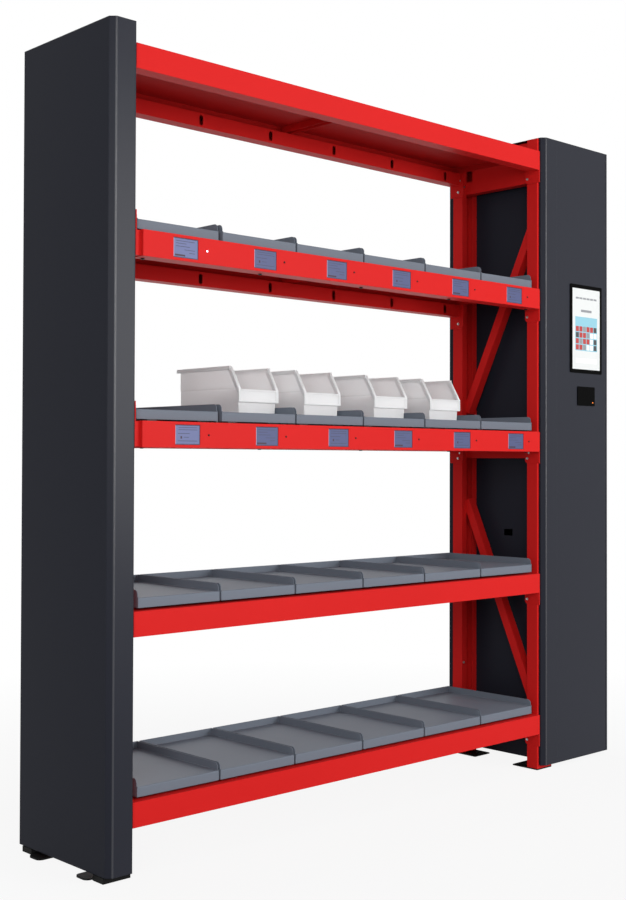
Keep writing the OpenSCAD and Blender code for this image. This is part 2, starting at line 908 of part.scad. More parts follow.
// Folded tray, open at the front, with its apron turned down and back, its walls turned up
// and a skirt welded under its rear that closes the space over the beams
module tray(r, i) {
    wall_top = tray_t + wall_h;
    skirt_in = 2 * bend_out;
    color(tray_grey)
        translate([tray_x(r, i), tray_y, level_tops[r - 1] + floor_rise]) {
            translate([bend_out - tray_w / 2, bend_out, 0])
                cube([tray_w - 2 * bend_out, tray_d - 2 * bend_out, tray_t]);
            translate([-tray_w / 2, 0, tray_t - apron_h])
                cube([tray_w, tray_t, apron_h - bend_out]);
            translate([-tray_w / 2, 0, 0])
                along_x(tray_w)
                    translate([bend_out, tray_t - bend_out])
                        mirror([0, 1])
                            sheet_bend(tray_t, bend_r);
            translate([bend_out - tray_w / 2, 0, 0])
                along_x(tray_w - 2 * bend_out)
                    translate([tray_d - bend_out, bend_out])
                        mirror([1, 0])
                            sheet_bend(tray_t, bend_r);
            translate([-tray_w / 2, tray_d - tray_t, bend_out])
                cube([tray_w, tray_t, wall_top - bend_out]);
            translate([skirt_in - tray_w / 2, tray_d - skirt_in - tray_t, tray_t - apron_h])
                cube([tray_w - 2 * skirt_in, tray_t, apron_h]);
            for (side = [0, 1])
                mirror([side, 0, 0])
                    translate([-tray_w / 2, 0, 0]) {
                        translate([0, 0, tray_t - apron_h])
                            cube([tray_t, return_l, apron_h - tray_t + bend_out]);
                        translate([0, bend_out, 0])
                            along_y(tray_d - 2 * bend_out)
                                translate([bend_out, bend_out])
                                    sheet_bend(tray_t, bend_r);
                        translate([0, tray_d, bend_out])
                            mirror([0, 1, 0])
                                along_x(tray_t)
                                    one_round_rect(tray_d - bend_out, wall_top - bend_out, wall_r);
                    }
        }
}

// Bins

// Outline of a bin from the side, without its rim
module bin_side() {
    polygon([[bin_foot_in, 0], [bin_rear - bin_draft, 0], [bin_rear, bin_h], [bin_slope, bin_h],
             [0, bin_front_h], [0, band_z], [bin_foot_in, band_z]]);
}

// Outline of a bin from the front, with the ledge along its sides
module bin_front() {
    low = bin_half - bin_draft / 2;
    high = low + bin_ledge;
    polygon([[bin_draft - bin_half, 0], [bin_half - bin_draft, 0], [low, ledge_z], [high, ledge_z],
             [bin_half, bin_h], [-bin_half, bin_h], [-high, ledge_z], [-low, ledge_z]]);
}

// Space inside the walls of a bin, open at the top and over the front
module bin_space() {
    foot = bin_foot_in + bin_t;
    base = bin_half - bin_draft - bin_t;
    top = bin_h + past;
    intersection() {
        translate([-bin_w, 0, 0])
            along_x(2 * bin_w)
                polygon([[foot, bin_t], [bin_rear - bin_draft - bin_t, bin_t], [bin_rear - bin_t, top],
                         [-past, top], [-past, bin_front_h], [bin_t, bin_front_h], [bin_t, band_z + bin_t],
                         [foot, band_z + bin_t]]);
        translate([0, -2 * past, 0])
            along_y(bin_l)
                polygon([[-base, bin_t], [base, bin_t], [bin_half - bin_t, top], [bin_t - bin_half, top]]);
    }
}

// Hopper-front bin with a thick rim, thick edges along its sloping front and a label band
module bin(b) {
    color([0.93, 0.92, 0.9])
        translate([tray_x(bin_row, first_bin_tray + b - 1) + bin_shifts[b - 1], tray_y + bin_back,
                   level_tops[bin_row - 1] + floor_rise + tray_t]) {
            difference() {
                union() {
                    intersection() {
                        translate([-bin_w, 0, 0])
                            along_x(2 * bin_w)
                                bin_side();
                        along_y(bin_l)
                            bin_front();
                    }
                    translate([-bin_w / 2, bin_slope, bin_h - rim_h])
                        cube([bin_w, bin_l - bin_slope, rim_h]);
                    translate([-bin_w / 2, 0, band_z])
                        cube([bin_w, bin_t, band_h]);
                }
                bin_space();
                translate([0, -recess_t, band_z + band_h / 2])
                    along_y(2 * recess_t)
                        round_rect(bin_w - 2 * edge_w, band_h - 2 * rim_w, recess_r);
            }
            for (side = [0, 1])
                mirror([side, 0, 0])
                    translate([bin_w / 2 - edge_w, 0, 0])
                        along_x(edge_w)
                            polygon([[0, bin_front_h], [bin_slope, bin_h], [bin_slope + rim_h, bin_h],
                                     [bin_slope + rim_h, bin_h - rim_h], [rim_h, bin_front_h - rim_h],
                                     [bin_t / 2, bin_front_h - rim_h], [bin_t / 2, bin_front_h]]);
        }
}

// Casings

// Plan of a bent cover along X, with bevelled corners at its outer edge
module casing_plan() {
    far = casing_d - casing_t;
    difference() {
        polygon([[0, bevel], [bevel, 0], [left_casing_w, 0], [left_casing_w, casing_d],
                 [bevel, casing_d], [0, casing_d - bevel]]);
        polygon([[casing_t, bevel + bevel_in], [bevel + bevel_in, casing_t],
                 [left_casing_w - casing_t, casing_t], [left_casing_w - casing_t, casing_lip],
                 [left_casing_w + past, casing_lip], [left_casing_w + past, casing_d - casing_lip],
                 [left_casing_w - casing_t, casing_d - casing_lip], [left_casing_w - casing_t, far],
                 [bevel + bevel_in, far], [casing_t, casing_d - bevel - bevel_in]]);
    }
}

module left_casing() {
    color(charcoal)
        translate([casing_left, front_y, ground_gap]) {
            linear_extrude(casing_h)
                casing_plan();
            translate([0, 0, casing_h - casing_t])
                linear_extrude(casing_t)
                    polygon([[0, bevel], [bevel, 0], [left_casing_w, 0], [left_casing_w, casing_d],
                             [bevel, casing_d], [0, casing_d - bevel]]);
        }
}

// Plan of the front sheet of the cabinet, bevelled at the left and flanged at the door
module front_sheet_plan() {
    lip = front_lip_y - front_y;
    right = shell_right - cabinet_left;
    polygon([[0, lip], [0, bevel], [bevel, 0], [right, 0], [right, door_flange],
             [right - casing_t, door_flange], [right - casing_t, casing_t],
             [bevel + bevel_in, casing_t], [casing_t, bevel + bevel_in], [casing_t, lip]]);
}

// Plan of the rear sheet of the cabinet, seen from the rear, with a square left edge
module rear_sheet_plan() {
    lip = front_lip_y - front_y;
    right = shell_right - cabinet_left;
    polygon([[0, lip], [0, 0], [right, 0], [right, door_flange], [right - casing_t, door_flange],
             [right - casing_t, casing_t], [casing_t, casing_t], [casing_t, lip]]);
}

// Fixed half of a hinge: a leaf on the rear of the cabinet and two knuckles
module fixed_knuckles() {
    for (z = [-fixed_knuckle_l - hinge_gap - knuckle_l / 2, knuckle_l / 2 + hinge_gap])
        translate([0, 0, z])
            difference() {
                union() {
                    translate([hinge_x, hinge_y, 0])
                        cylinder(r = knuckle_r, h = fixed_knuckle_l);
                    translate([shell_right - leaf_l, shell_rear, 0])
                        cube([hinge_x - pin_r - shell_right + leaf_l, leaf_t, fixed_knuckle_l]);
                }
                translate([hinge_x, hinge_y, -past])
                    cylinder(r = bore_r, h = fixed_knuckle_l + 2 * past);
            }
}

// Bent sheet body of the cabinet, open towards the door
module cabinet_shell() {
    depth = shell_rear - front_y;
    color(charcoal) {
        difference() {
            union() {
                translate([cabinet_left, front_y, ground_gap])
                    linear_extrude(casing_h)
                        front_sheet_plan();
                translate([cabinet_left, shell_rear, ground_gap])
                    mirror([0, 1, 0])
                        linear_extrude(casing_h)
                            rear_sheet_plan();
                translate([side_panel_x, front_y + casing_t / 2, ground_gap])
                    cube([casing_t, depth - casing_t, casing_h]);
                translate([cabinet_left, front_y, casing_top - casing_t])
                    linear_extrude(casing_t)
                        polygon([[0, bevel], [bevel, 0], [shell_right - cabinet_left, 0],
                                 [shell_right - cabinet_left, depth], [0, depth]]);
                translate([side_panel_x, front_y, ground_gap])
                    cube([shell_right - side_panel_x, depth, casing_t]);
                for (z = [ground_gap, casing_top - door_flange])
                    translate([shell_right - casing_t, front_y, z])
                        cube([casing_t, depth, door_flange]);
            }
            translate([screen_mid - screen_w / 2 + console_lap, front_y - casing_t,
                       screen_z - screen_h / 2 + console_lap])
                cube([screen_w - 2 * console_lap, 3 * casing_t, screen_h - 2 * console_lap]);
            translate([screen_mid - reader_w / 2 + console_lap, front_y - casing_t,
                       reader_z - reader_h / 2 + console_lap])
                cube([reader_w - 2 * console_lap, 3 * casing_t, reader_h - 2 * console_lap]);
            translate([side_panel_x - casing_t, front_y + cable_back - cable_w / 2, cable_z - cable_h / 2])
                cube([3 * casing_t, cable_w, cable_h]);
            translate([inlet_x - inlet_w / 2 + console_lap, shell_rear - 2 * casing_t,
                       inlet_z - inlet_h / 2 + console_lap])
                cube([inlet_w - 2 * console_lap, 3 * casing_t, inlet_h - 2 * console_lap]);
        }
        for (h = hinges)
            translate([0, 0, hinge_low + h * hinge_pitch])
                fixed_knuckles();
    }
}

// Door at the right side of the cabinet

// Hollow pan with turned edges, and a knuckle at each hinge
module service_door() {
    depth = door_rear - front_y;
    color(charcoal)
        difference() {
            union() {
                difference() {
                    translate([door_in, front_y, ground_gap])
                        cube([door_t, depth, casing_h]);
                    translate([door_in + casing_t, front_y + casing_t, ground_gap + casing_t])
                        cube([door_t - 2 * casing_t, depth - 2 * casing_t, casing_h - 2 * casing_t]);
                    translate([door_in - casing_t, front_y + door_lip, ground_gap + door_lip])
                        cube([3 * casing_t, depth - 2 * door_lip, casing_h - 2 * door_lip]);
                }
                for (h = hinges)
                    translate([0, 0, hinge_low + h * hinge_pitch - knuckle_l / 2]) {
                        translate([hinge_x, hinge_y, 0])
                            cylinder(r = knuckle_r, h = knuckle_l);
                        translate([hinge_x + knuckle_r - leaf_t, door_rear - casing_t / 2, 0])
                            cube([leaf_t, hinge_y - door_rear + casing_t / 2, knuckle_l]);
                    }
            }
            for (h = hinges)
                translate([hinge_x, hinge_y, hinge_low + h * hinge_pitch - knuckle_l])
                    cylinder(r = bore_r, h = 2 * knuckle_l);
            translate([door_in, lock_y, lock_z])
                rotate([0, 90, 0])
                    cylinder(r = lock_r + lock_gap, h = 2 * door_t);
        }
}

// Pins that hang by their heads on the upper knuckles
module hinge_pins() {
    half = knuckle_l / 2 + hinge_gap + fixed_knuckle_l;
    color(steel)
        for (h = hinges)
            translate([hinge_x, hinge_y, hinge_low + h * hinge_pitch]) {
                translate([0, 0, -half])
                    cylinder(r = pin_r, h = 2 * half);
                translate([0, 0, half])
                    cylinder(r = pin_head_r, h = pin_head_t);
            }
}

module door_seal() {
    margin = (door_flange - seal_w) / 2;
    depth = shell_rear - front_y - 2 * margin;
    height = casing_h - 2 * margin;
    color(black)
        translate([shell_right, front_y + margin, ground_gap + margin])
            difference() {
                cube([seal_t, depth, height]);
                translate([-past, seal_w, seal_w])
                    cube([seal_t + 2 * past, depth - 2 * seal_w, height - 2 * seal_w]);
            }
}

// Quarter-turn lock, drawn open with its cam upright
module door_lock() {
    color(black)
        translate([0, lock_y, lock_z]) {
            translate([cam_x, 0, 0])
                rotate([0, 90, 0])
                    cylinder(r = lock_r, h = door_out - cam_x + lock_head_t / 2);
            translate([door_out, 0, 0])
                rotate([0, 90, 0])
                    difference() {
                        cylinder(r = lock_head_r, h = lock_head_t);
                        translate([-lock_r / 2, -lock_r / 10, lock_head_t / 2])
                            cube([lock_r, lock_r / 5, lock_head_t]);
                    }
            translate([cam_x, -cam_w / 2, 0])
                cube([cam_t, cam_w, cam_l]);
        }
}

// Console in the front panel

// Housing behind the front panel with a frame that laps over the panel
module console_block(w, h, d, r) {
    body_w = w - 2 * console_lap - 2 * console_gap;
    body_h = h - 2 * console_lap - 2 * console_gap;
    translate([0, -console_proud, 0])
        along_y(console_proud)
            round_rect(w, h, r);
    translate([-body_w / 2, 0, -body_h / 2])
        cube([body_w, d, body_h]);
}

module touch_screen() {
    glass_w = screen_w - 2 * glass_margin_x;
    glass_h = screen_h - 2 * glass_margin_z;
    color(black)
        translate([screen_mid, front_y, screen_z])
            difference() {
                console_block(screen_w, screen_h, screen_d, screen_r);
                translate([-glass_w / 2, -2 * console_proud, -glass_h / 2])
                    cube([glass_w, console_proud + glass_sink + glass_t, glass_h]);
            }
}

module screen_glass() {
    glass_w = screen_w - 2 * glass_margin_x;
    glass_h = screen_h - 2 * glass_margin_z;
    color([0.1, 0.13, 0.2])
        translate([screen_mid - glass_w / 2, front_y - console_proud + glass_sink, screen_z - glass_h / 2])
            cube([glass_w, glass_t, glass_h]);
}

module card_reader() {
    color(black)
        translate([screen_mid, front_y, reader_z])
            difference() {
                console_block(reader_w, reader_h, reader_d, reader_r);
                translate([reader_w / 2 - reader_lamp_inset, -2 * console_proud,
                           reader_lamp_inset - reader_h / 2])
                    rotate([-90, 0, 0])
                        cylinder(r = reader_lamp_r, h = 2 * console_proud);
            }
}

module reader_lamp() {
    color([1, 0.5, 0.1])
        translate([screen_mid + reader_w / 2 - reader_lamp_inset, front_y - console_proud + glass_sink,
                   reader_z - reader_h / 2 + reader_lamp_inset])
            rotate([-90, 0, 0])
                cylinder(r = reader_lamp_r, h = console_proud - glass_sink);
}

// Equipment inside the cabinet

module equipment_plate() {
    color(steel) {
        translate([equip_x, equip_y - equip_w / 2, equip_z - equip_h / 2])
            cube([equip_t, equip_w, equip_h]);
        for (y = [-1, 1], z = [-1, 1])
            translate([inside_x, equip_y + y * (equip_w / 2 - 2 * post_r),
                       equip_z + z * (equip_h / 2 - 2 * post_r)])
                rotate([0, 90, 0])
                    cylinder(r = post_r, h = equip_off);
    }
}

module control_computer() {
    step = (computer_w - fin_t) / (fin_n - 1);
    color([0.3, 0.31, 0.33])
        translate([equip_face, equip_y - computer_w / 2, computer_z - computer_h / 2]) {
            cube([computer_d, computer_w, computer_h]);
            for (k = [0:fin_n - 1])
                translate([computer_d - fin_t, k * step, 0])
                    cube([fin_h + fin_t, fin_t, computer_h]);
        }
}

// Junction box with two rows of plug sockets
module weighing_hub() {
    per_row = hub_sockets / 2;
    pitch = hub_w / per_row;
    socket = pitch * 0.55;
    color([0.75, 0.76, 0.74])
        translate([equip_face, equip_y - hub_w / 2, hub_z - hub_h / 2])
            difference() {
                cube([hub_d, hub_w, hub_h]);
                for (k = [0:per_row - 1], z = [0.3, 0.7])
                    translate([hub_d / 2, (k + 0.5) * pitch - socket / 2, z * hub_h - socket / 2])
                        cube([hub_d, socket, socket]);
            }
}

// Boxed supply with cooling slots across its cover
module power_supply() {
    slots = 6;
    pitch = supply_h * 0.5 / slots;
    color([0.7, 0.71, 0.72])
        translate([equip_face, equip_y - supply_w / 2, supply_z - supply_h / 2])
            difference() {
                cube([supply_d, supply_w, supply_h]);
                for (k = [0:slots - 1])
                    translate([supply_d - casing_t, supply_w * 0.2, supply_h * 0.3 + k * pitch])
                        cube([2 * casing_t, supply_w * 0.6, pitch / 2]);
            }
}

// Inlet with a cup for a plug, through the rear panel
module power_inlet() {
    body_w = inlet_w - 2 * console_lap - 2 * console_gap;
    body_h = inlet_h - 2 * console_lap - 2 * console_gap;
    cup = 2.5;
    color(black)
        translate([inlet_x, shell_rear, inlet_z])
            difference() {
                union() {
                    along_y(inlet_t)
                        round_rect(inlet_w, inlet_h, reader_r);
                    translate([-body_w / 2, -reader_d, -body_h / 2])
                        cube([body_w, reader_d, body_h]);
                }
                translate([cup - body_w / 2, inlet_t - reader_d / 2, cup - body_h / 2])
                    cube([body_w - 2 * cup, reader_d, body_h - 2 * cup]);
            }
}

base_plates();
left_front_upright();
left_rear_upright();
right_front_upright();
right_rear_upright();
left_braces();
right_braces();
front_beams();
rear_beams();
deck_panels();
deck_ties();
label_rails();
shelf_labels();
indicator_lamps();
load_cells();
weigh_plates();
left_casing();
cabinet_shell();
service_door();
hinge_pins();
door_seal();
door_lock();
touch_screen();
screen_glass();
card_reader();
reader_lamp();
equipment_plate();
control_computer();
weighing_hub();
power_supply();
power_inlet();
for (r = tray_rows, i = [1:trays_per_row])
    tray(r, i);
for (b = bins)
    bin(b);
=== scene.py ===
import math
import bpy
from mathutils import Matrix, Vector


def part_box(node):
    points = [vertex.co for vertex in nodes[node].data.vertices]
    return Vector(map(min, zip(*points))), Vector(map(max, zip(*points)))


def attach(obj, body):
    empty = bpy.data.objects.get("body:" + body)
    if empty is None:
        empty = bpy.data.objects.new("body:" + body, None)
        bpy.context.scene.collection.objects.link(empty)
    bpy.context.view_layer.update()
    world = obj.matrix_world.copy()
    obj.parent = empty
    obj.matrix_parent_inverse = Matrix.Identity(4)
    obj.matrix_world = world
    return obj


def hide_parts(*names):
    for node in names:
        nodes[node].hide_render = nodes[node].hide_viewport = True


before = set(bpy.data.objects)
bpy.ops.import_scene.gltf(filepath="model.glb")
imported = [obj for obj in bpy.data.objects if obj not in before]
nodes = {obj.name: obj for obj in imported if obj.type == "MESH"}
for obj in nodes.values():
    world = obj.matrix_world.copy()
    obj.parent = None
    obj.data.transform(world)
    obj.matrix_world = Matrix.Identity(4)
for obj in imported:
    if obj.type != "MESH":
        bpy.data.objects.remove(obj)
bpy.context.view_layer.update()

scene = bpy.context.scene
scene.view_settings.view_transform = "Standard"

# Viewpoint: a lens ahead of the left front corner at chest height, looking almost level
# across the rack, with the picture's middle a little off the lens axis.
camera_place = Vector((-2.7263, -2.71135, 0.9799))
look = Vector((0.68489, 0.72848, 0.01595)).normalized()
right = Vector((0.72853, -0.68500, 0.00286)).normalized()
up = right.cross(look).normalized()
lens = bpy.data.cameras.new("camera")
lens.sensor_width = 36.0
lens.lens = 52.237
lens.shift_x = 0.00402
lens.shift_y = -0.0113
lens.clip_end = 50.0
camera = bpy.data.objects.new("camera", lens)
turn = Matrix((right, up, -look)).transposed()
camera.matrix_world = Matrix.Translation(camera_place) @ turn.to_4x4()
scene.collection.objects.link(camera)
scene.camera = camera

# Studio: a wide pale floor that takes the rack's soft shadow and fades to white away
# from it, under a white surround that lens, metal and glass see.
bpy.ops.object.select_all(action="DESELECT")
bpy.ops.mesh.primitive_plane_add(size=24.0, location=(0, 0, 0))
floor = bpy.context.object
floor.name = "studio_floor"


def seen_directly(tree):
    path = tree.nodes.new("ShaderNodeLightPath")
    seen = path.outputs["Is Camera Ray"]
    for kind in ("Is Glossy Ray", "Is Transmission Ray"):
        either = tree.nodes.new("ShaderNodeMath")
        either.use_clamp = True
        tree.links.new(seen, either.inputs[0])
        tree.links.new(path.outputs[kind], either.inputs[1])
        seen = either.outputs[0]
    return seen


pale = bpy.data.materials.new("studio_floor")
pale.use_nodes = True
tree = pale.node_tree
tree.nodes.clear()
out = tree.nodes.new("ShaderNodeOutputMaterial")
place = tree.nodes.new("ShaderNodeTexCoord")
reach = tree.nodes.new("ShaderNodeVectorMath")
reach.operation = "LENGTH"
fade = tree.nodes.new("ShaderNodeMapRange")
fade.inputs["From Min"].default_value = 1.0
fade.inputs["From Max"].default_value = 2.6
fade.inputs["To Min"].default_value = 0.9
fade.inputs["To Max"].default_value = 1.0
share = tree.nodes.new("ShaderNodeMath")
share.operation = "MULTIPLY"
matte = tree.nodes.new("ShaderNodeBsdfDiffuse")
matte.inputs["Color"].default_value = (0.6, 0.6, 0.6, 1)
white = tree.nodes.new("ShaderNodeEmission")
mix = tree.nodes.new("ShaderNodeMixShader")
tree.links.new(place.outputs["Object"], reach.inputs[0])
tree.links.new(reach.outputs["Value"], fade.inputs["Value"])
tree.links.new(fade.outputs["Result"], share.inputs[0])
tree.links.new(seen_directly(tree), share.inputs[1])
tree.links.new(share.outputs[0], mix.inputs["Fac"])
tree.links.new(matte.outputs["BSDF"], mix.inputs[1])
tree.links.new(white.outputs["Emission"], mix.inputs[2])
tree.links.new(mix.outputs["Shader"], out.inputs["Surface"])
floor.data.materials.append(pale)

world = bpy.data.worlds.new("studio")
scene.world = world
world.use_nodes = True
tree = world.node_tree
tree.nodes.clear()
out = tree.nodes.new("ShaderNodeOutputWorld")
room = tree.nodes.new("ShaderNodeBackground")
room.inputs["Color"].default_value = (0.94, 0.96, 1.0, 1)
room.inputs["Strength"].default_value = 0.27
backdrop = tree.nodes.new("ShaderNodeBackground")
backdrop.inputs["Color"].default_value = (1, 1, 1, 1)
mix = tree.nodes.new("ShaderNodeMixShader")
tree.links.new(seen_directly(tree), mix.inputs["Fac"])
tree.links.new(room.outputs["Background"], mix.inputs[1])
tree.links.new(backdrop.outputs["Background"], mix.inputs[2])
tree.links.new(mix.outputs["Shader"], out.inputs["Surface"])


def softbox(name, place, target, size, power):
    lamp = bpy.data.lights.new(name, "AREA")
    lamp.shape = "RECTANGLE"
    lamp.size, lamp.size_y = size
    lamp.energy = power
    holder = bpy.data.objects.new(name, lamp)
    holder.location = place
    aim = Vector(target) - Vector(place)
    holder.rotation_euler = aim.to_track_quat("-Z", "Y").to_euler()
    scene.collection.objects.link(holder)


rack_middle = (0.0, 0.0, 1.0)
softbox("front_softbox", (2.2, -5.0, 1.9), rack_middle, size=(3.0, 2.6), power=188)
softbox("left_softbox", (-4.6, -4.0, 2.2), rack_middle, size=(2.6, 2.6), power=136)
softbox("rear_softbox", (0.6, 4.8, 2.4), rack_middle, size=(3.0, 2.6), power=80)
softbox("top_softbox", (0.2, -1.2, 4.8), rack_middle, size=(3.2, 2.0), power=15)


# Base plates: flat steel feet cut from plate and welded, at the open end with an ear and a low shoe, then
# powder coated black, which is painted shade round the feet; a floor anchor goes through each.
def powder_grain():
    group = bpy.data.node_groups.new("powder_grain", "ShaderNodeTree")
    for name, kind in (("Colour", "Color"), ("Grain size", "Float"), ("Tone drift", "Float"),
                       ("Roughness", "Float")):
        group.interface.new_socket(name, in_out="INPUT", socket_type="NodeSocket" + kind)
    for name, kind in (("Colour", "Color"), ("Roughness", "Float"), ("Height", "Float")):
        group.interface.new_socket(name, in_out="OUTPUT", socket_type="NodeSocket" + kind)
    enter = group.nodes.new("NodeGroupInput")
    leave = group.nodes.new("NodeGroupOutput")
    place = group.nodes.new("ShaderNodeTexCoord")
    grain = group.nodes.new("ShaderNodeTexNoise")
    grain.inputs["Detail"].default_value = 2.0
    drift = group.nodes.new("ShaderNodeTexNoise")
    drift.inputs["Scale"].default_value = 1.7
    drift.inputs["Detail"].default_value = 1.0
    swing = group.nodes.new("ShaderNodeMath")
    swing.operation = "SUBTRACT"
    swing.inputs[1].default_value = 0.5
    tone = group.nodes.new("ShaderNodeMath")
    tone.operation = "MULTIPLY_ADD"
    tone.inputs[2].default_value = 1.0
    shade = group.nodes.new("ShaderNodeVectorMath")
    shade.operation = "SCALE"
    sheen = group.nodes.new("ShaderNodeMath")
    sheen.operation = "MULTIPLY_ADD"
    sheen.inputs[1].default_value = 0.1
    link = group.links.new
    link(place.outputs["Object"], grain.inputs["Vector"])
    link(place.outputs["Object"], drift.inputs["Vector"])
    link(enter.outputs["Grain size"], grain.inputs["Scale"])
    link(drift.outputs["Fac"], swing.inputs[0])
    link(swing.outputs[0], tone.inputs[0])
    link(enter.outputs["Tone drift"], tone.inputs[1])
    link(enter.outputs["Colour"], shade.inputs[0])
    link(tone.outputs[0], shade.inputs["Scale"])
    link(swing.outputs[0], sheen.inputs[0])
    link(enter.outputs["Roughness"], sheen.inputs[2])
    link(shade.outputs["Vector"], leave.inputs["Colour"])
    link(sheen.outputs[0], leave.inputs["Roughness"])
    link(grain.outputs["Fac"], leave.inputs["Height"])
    return group


powder_group = powder_grain()


def coated(name, colour, roughness, grain=900.0, drift=0.12, depth=0.00006, specular=0.3,
           edge=0.0012):
    made = bpy.data.materials.new(name)
    made.use_nodes = True
    tree = made.node_tree
    shader = tree.nodes["Principled BSDF"]
    shader.inputs["Specular IOR Level"].default_value = specular
    surface = tree.nodes.new("ShaderNodeGroup")
    surface.node_tree = powder_group
    surface.inputs["Colour"].default_value = (*colour, 1)
    surface.inputs["Grain size"].default_value = grain
    surface.inputs["Tone drift"].default_value = drift
    surface.inputs["Roughness"].default_value = roughness
    bump = tree.nodes.new("ShaderNodeBump")
    bump.inputs["Strength"].default_value = 0.5
    bump.inputs["Distance"].default_value = depth
    fold = tree.nodes.new("ShaderNodeBevel")
    fold.inputs["Radius"].default_value = edge
    tree.links.new(fold.outputs["Normal"], bump.inputs["Normal"])
    tree.links.new(surface.outputs["Colour"], shader.inputs["Base Color"])
    tree.links.new(surface.outputs["Roughness"], shader.inputs["Roughness"])
    tree.links.new(surface.outputs["Height"], bump.inputs["Height"])
    tree.links.new(bump.outputs["Normal"], shader.inputs["Normal"])
    return made


def dress(material, *names):
    for name in names:
        for holder in nodes[name].material_slots:
            holder.material = material


black = (0.006, 0.006, 0.006)
# The base plates' black is painted shade round the feet.
shade_black_coat = coated("shade_black_coat", black, roughness=0.55, specular=0.08)
dress(shade_black_coat, "base_plates")

# Upright frames: roll-formed lipped channels with channel braces between them, in red powder coat; the left
# uprights' feet are painted black as painted shade under the left casing. Zinc plated bolts hold the
# braces.
red_coat = coated("red_coat", (0.665, 0.0165, 0.0155), roughness=0.42, specular=0.05)
dress(red_coat, "right_front_upright", "right_rear_upright", "left_braces", "right_braces")
shaded_feet = red_coat.copy()
shaded_feet.name = "red_coat_shaded_feet"
tree = shaded_feet.node_tree
place = tree.nodes.new("ShaderNodeTexCoord")
split = tree.nodes.new("ShaderNodeSeparateXYZ")
# Below this height the left uprights are painted black as painted shade under the left casing.
foot_shade_height, foot_shade_blur = 0.024, 0.001
foot_shade_edge = tree.nodes.new("ShaderNodeMapRange")
foot_shade_edge.inputs["From Min"].default_value = foot_shade_height
foot_shade_edge.inputs["From Max"].default_value = foot_shade_height + foot_shade_blur
blend = tree.nodes.new("ShaderNodeMix")
blend.data_type = "RGBA"
colour_a, colour_b, colour_out = blend.inputs[6], blend.inputs[7], blend.outputs[2]
colour_a.default_value = (*black, 1)
coat = next(node for node in tree.nodes if node.type == "GROUP")
tree.links.new(place.outputs["Object"], split.inputs[0])
tree.links.new(split.outputs["Z"], foot_shade_edge.inputs["Value"])
tree.links.new(foot_shade_edge.outputs["Result"], blend.inputs["Factor"])
tree.links.new(coat.outputs["Colour"], colour_b)
tree.links.new(colour_out, tree.nodes["Principled BSDF"].inputs["Base Color"])
dress(shaded_feet, "left_front_upright", "left_rear_upright")


def zinc_bloom():
    group = bpy.data.node_groups.new("zinc_bloom", "ShaderNodeTree")
    group.interface.new_socket("Colour", in_out="INPUT", socket_type="NodeSocketColor")
    group.interface.new_socket("Crystal size", in_out="INPUT", socket_type="NodeSocketFloat")
    group.interface.new_socket("Colour", in_out="OUTPUT", socket_type="NodeSocketColor")
    group.interface.new_socket("Roughness", in_out="OUTPUT", socket_type="NodeSocketFloat")
    enter = group.nodes.new("NodeGroupInput")
    leave = group.nodes.new("NodeGroupOutput")
    place = group.nodes.new("ShaderNodeTexCoord")
    crystal = group.nodes.new("ShaderNodeTexVoronoi")
    cloud = group.nodes.new("ShaderNodeTexNoise")
    cloud.inputs["Scale"].default_value = 40.0
    facet = group.nodes.new("ShaderNodeSeparateColor")
    tone = group.nodes.new("ShaderNodeMapRange")
    tone.inputs["To Min"].default_value = 0.88
    tone.inputs["To Max"].default_value = 1.06
    shade = group.nodes.new("ShaderNodeVectorMath")
    shade.operation = "SCALE"
    dull = group.nodes.new("ShaderNodeMapRange")
    dull.inputs["To Min"].default_value = 0.3
    dull.inputs["To Max"].default_value = 0.52
    link = group.links.new
    link(place.outputs["Object"], crystal.inputs["Vector"])
    link(place.outputs["Object"], cloud.inputs["Vector"])
    link(enter.outputs["Crystal size"], crystal.inputs["Scale"])
    link(crystal.outputs["Color"], facet.inputs["Color"])
    link(facet.outputs["Red"], tone.inputs["Value"])
    link(enter.outputs["Colour"], shade.inputs[0])
    link(tone.outputs["Result"], shade.inputs["Scale"])
    link(cloud.outputs["Fac"], dull.inputs["Value"])
    link(shade.outputs["Vector"], leave.inputs["Colour"])
    link(dull.outputs["Result"], leave.inputs["Roughness"])
    return group


zinc_group = zinc_bloom()


def plated(name, colour, crystal):
    made = bpy.data.materials.new(name)
    made.use_nodes = True
    tree = made.node_tree
    shader = tree.nodes["Principled BSDF"]
    shader.inputs["Metallic"].default_value = 1.0
    surface = tree.nodes.new("ShaderNodeGroup")
    surface.node_tree = zinc_group
    surface.inputs["Colour"].default_value = (*colour, 1)
    surface.inputs["Crystal size"].default_value = crystal
    tree.links.new(surface.outputs["Colour"], shader.inputs["Base Color"])
    tree.links.new(surface.outputs["Roughness"], shader.inputs["Roughness"])
    return made


def pick_faces(piece, test):
    bpy.ops.object.mode_set(mode="OBJECT")
    scene.tool_settings.mesh_select_mode = (False, False, True)
    for parts in (piece.data.vertices, piece.data.edges, piece.data.polygons):
        parts.foreach_set("select", [False] * len(parts))
    for face in piece.data.polygons:
        face.select = test(face.center, face.normal)
    bpy.ops.object.mode_set(mode="EDIT")


def pick_edges(piece, test):
    bpy.ops.object.mode_set(mode="OBJECT")
    scene.tool_settings.mesh_select_mode = (False, True, False)
    for parts in (piece.data.vertices, piece.data.edges, piece.data.polygons):
        parts.foreach_set("select", [False] * len(parts))
    points = piece.data.vertices
    for edge in piece.data.edges:
        start, end = (points[i].co for i in edge.vertices)
        if test(start, end):
            edge.select = True
            for i in edge.vertices:
                points[i].select = True
    bpy.ops.object.mode_set(mode="EDIT")


def new_cylinder(name, sides, radius, height, base=0.0):
    bpy.ops.object.select_all(action="DESELECT")
    bpy.ops.mesh.primitive_cylinder_add(vertices=sides, radius=radius, depth=height,
                                        location=(0, 0, base + height / 2))
    made = bpy.context.object
    made.name = name
    bpy.ops.object.transform_apply(location=True)
    return made


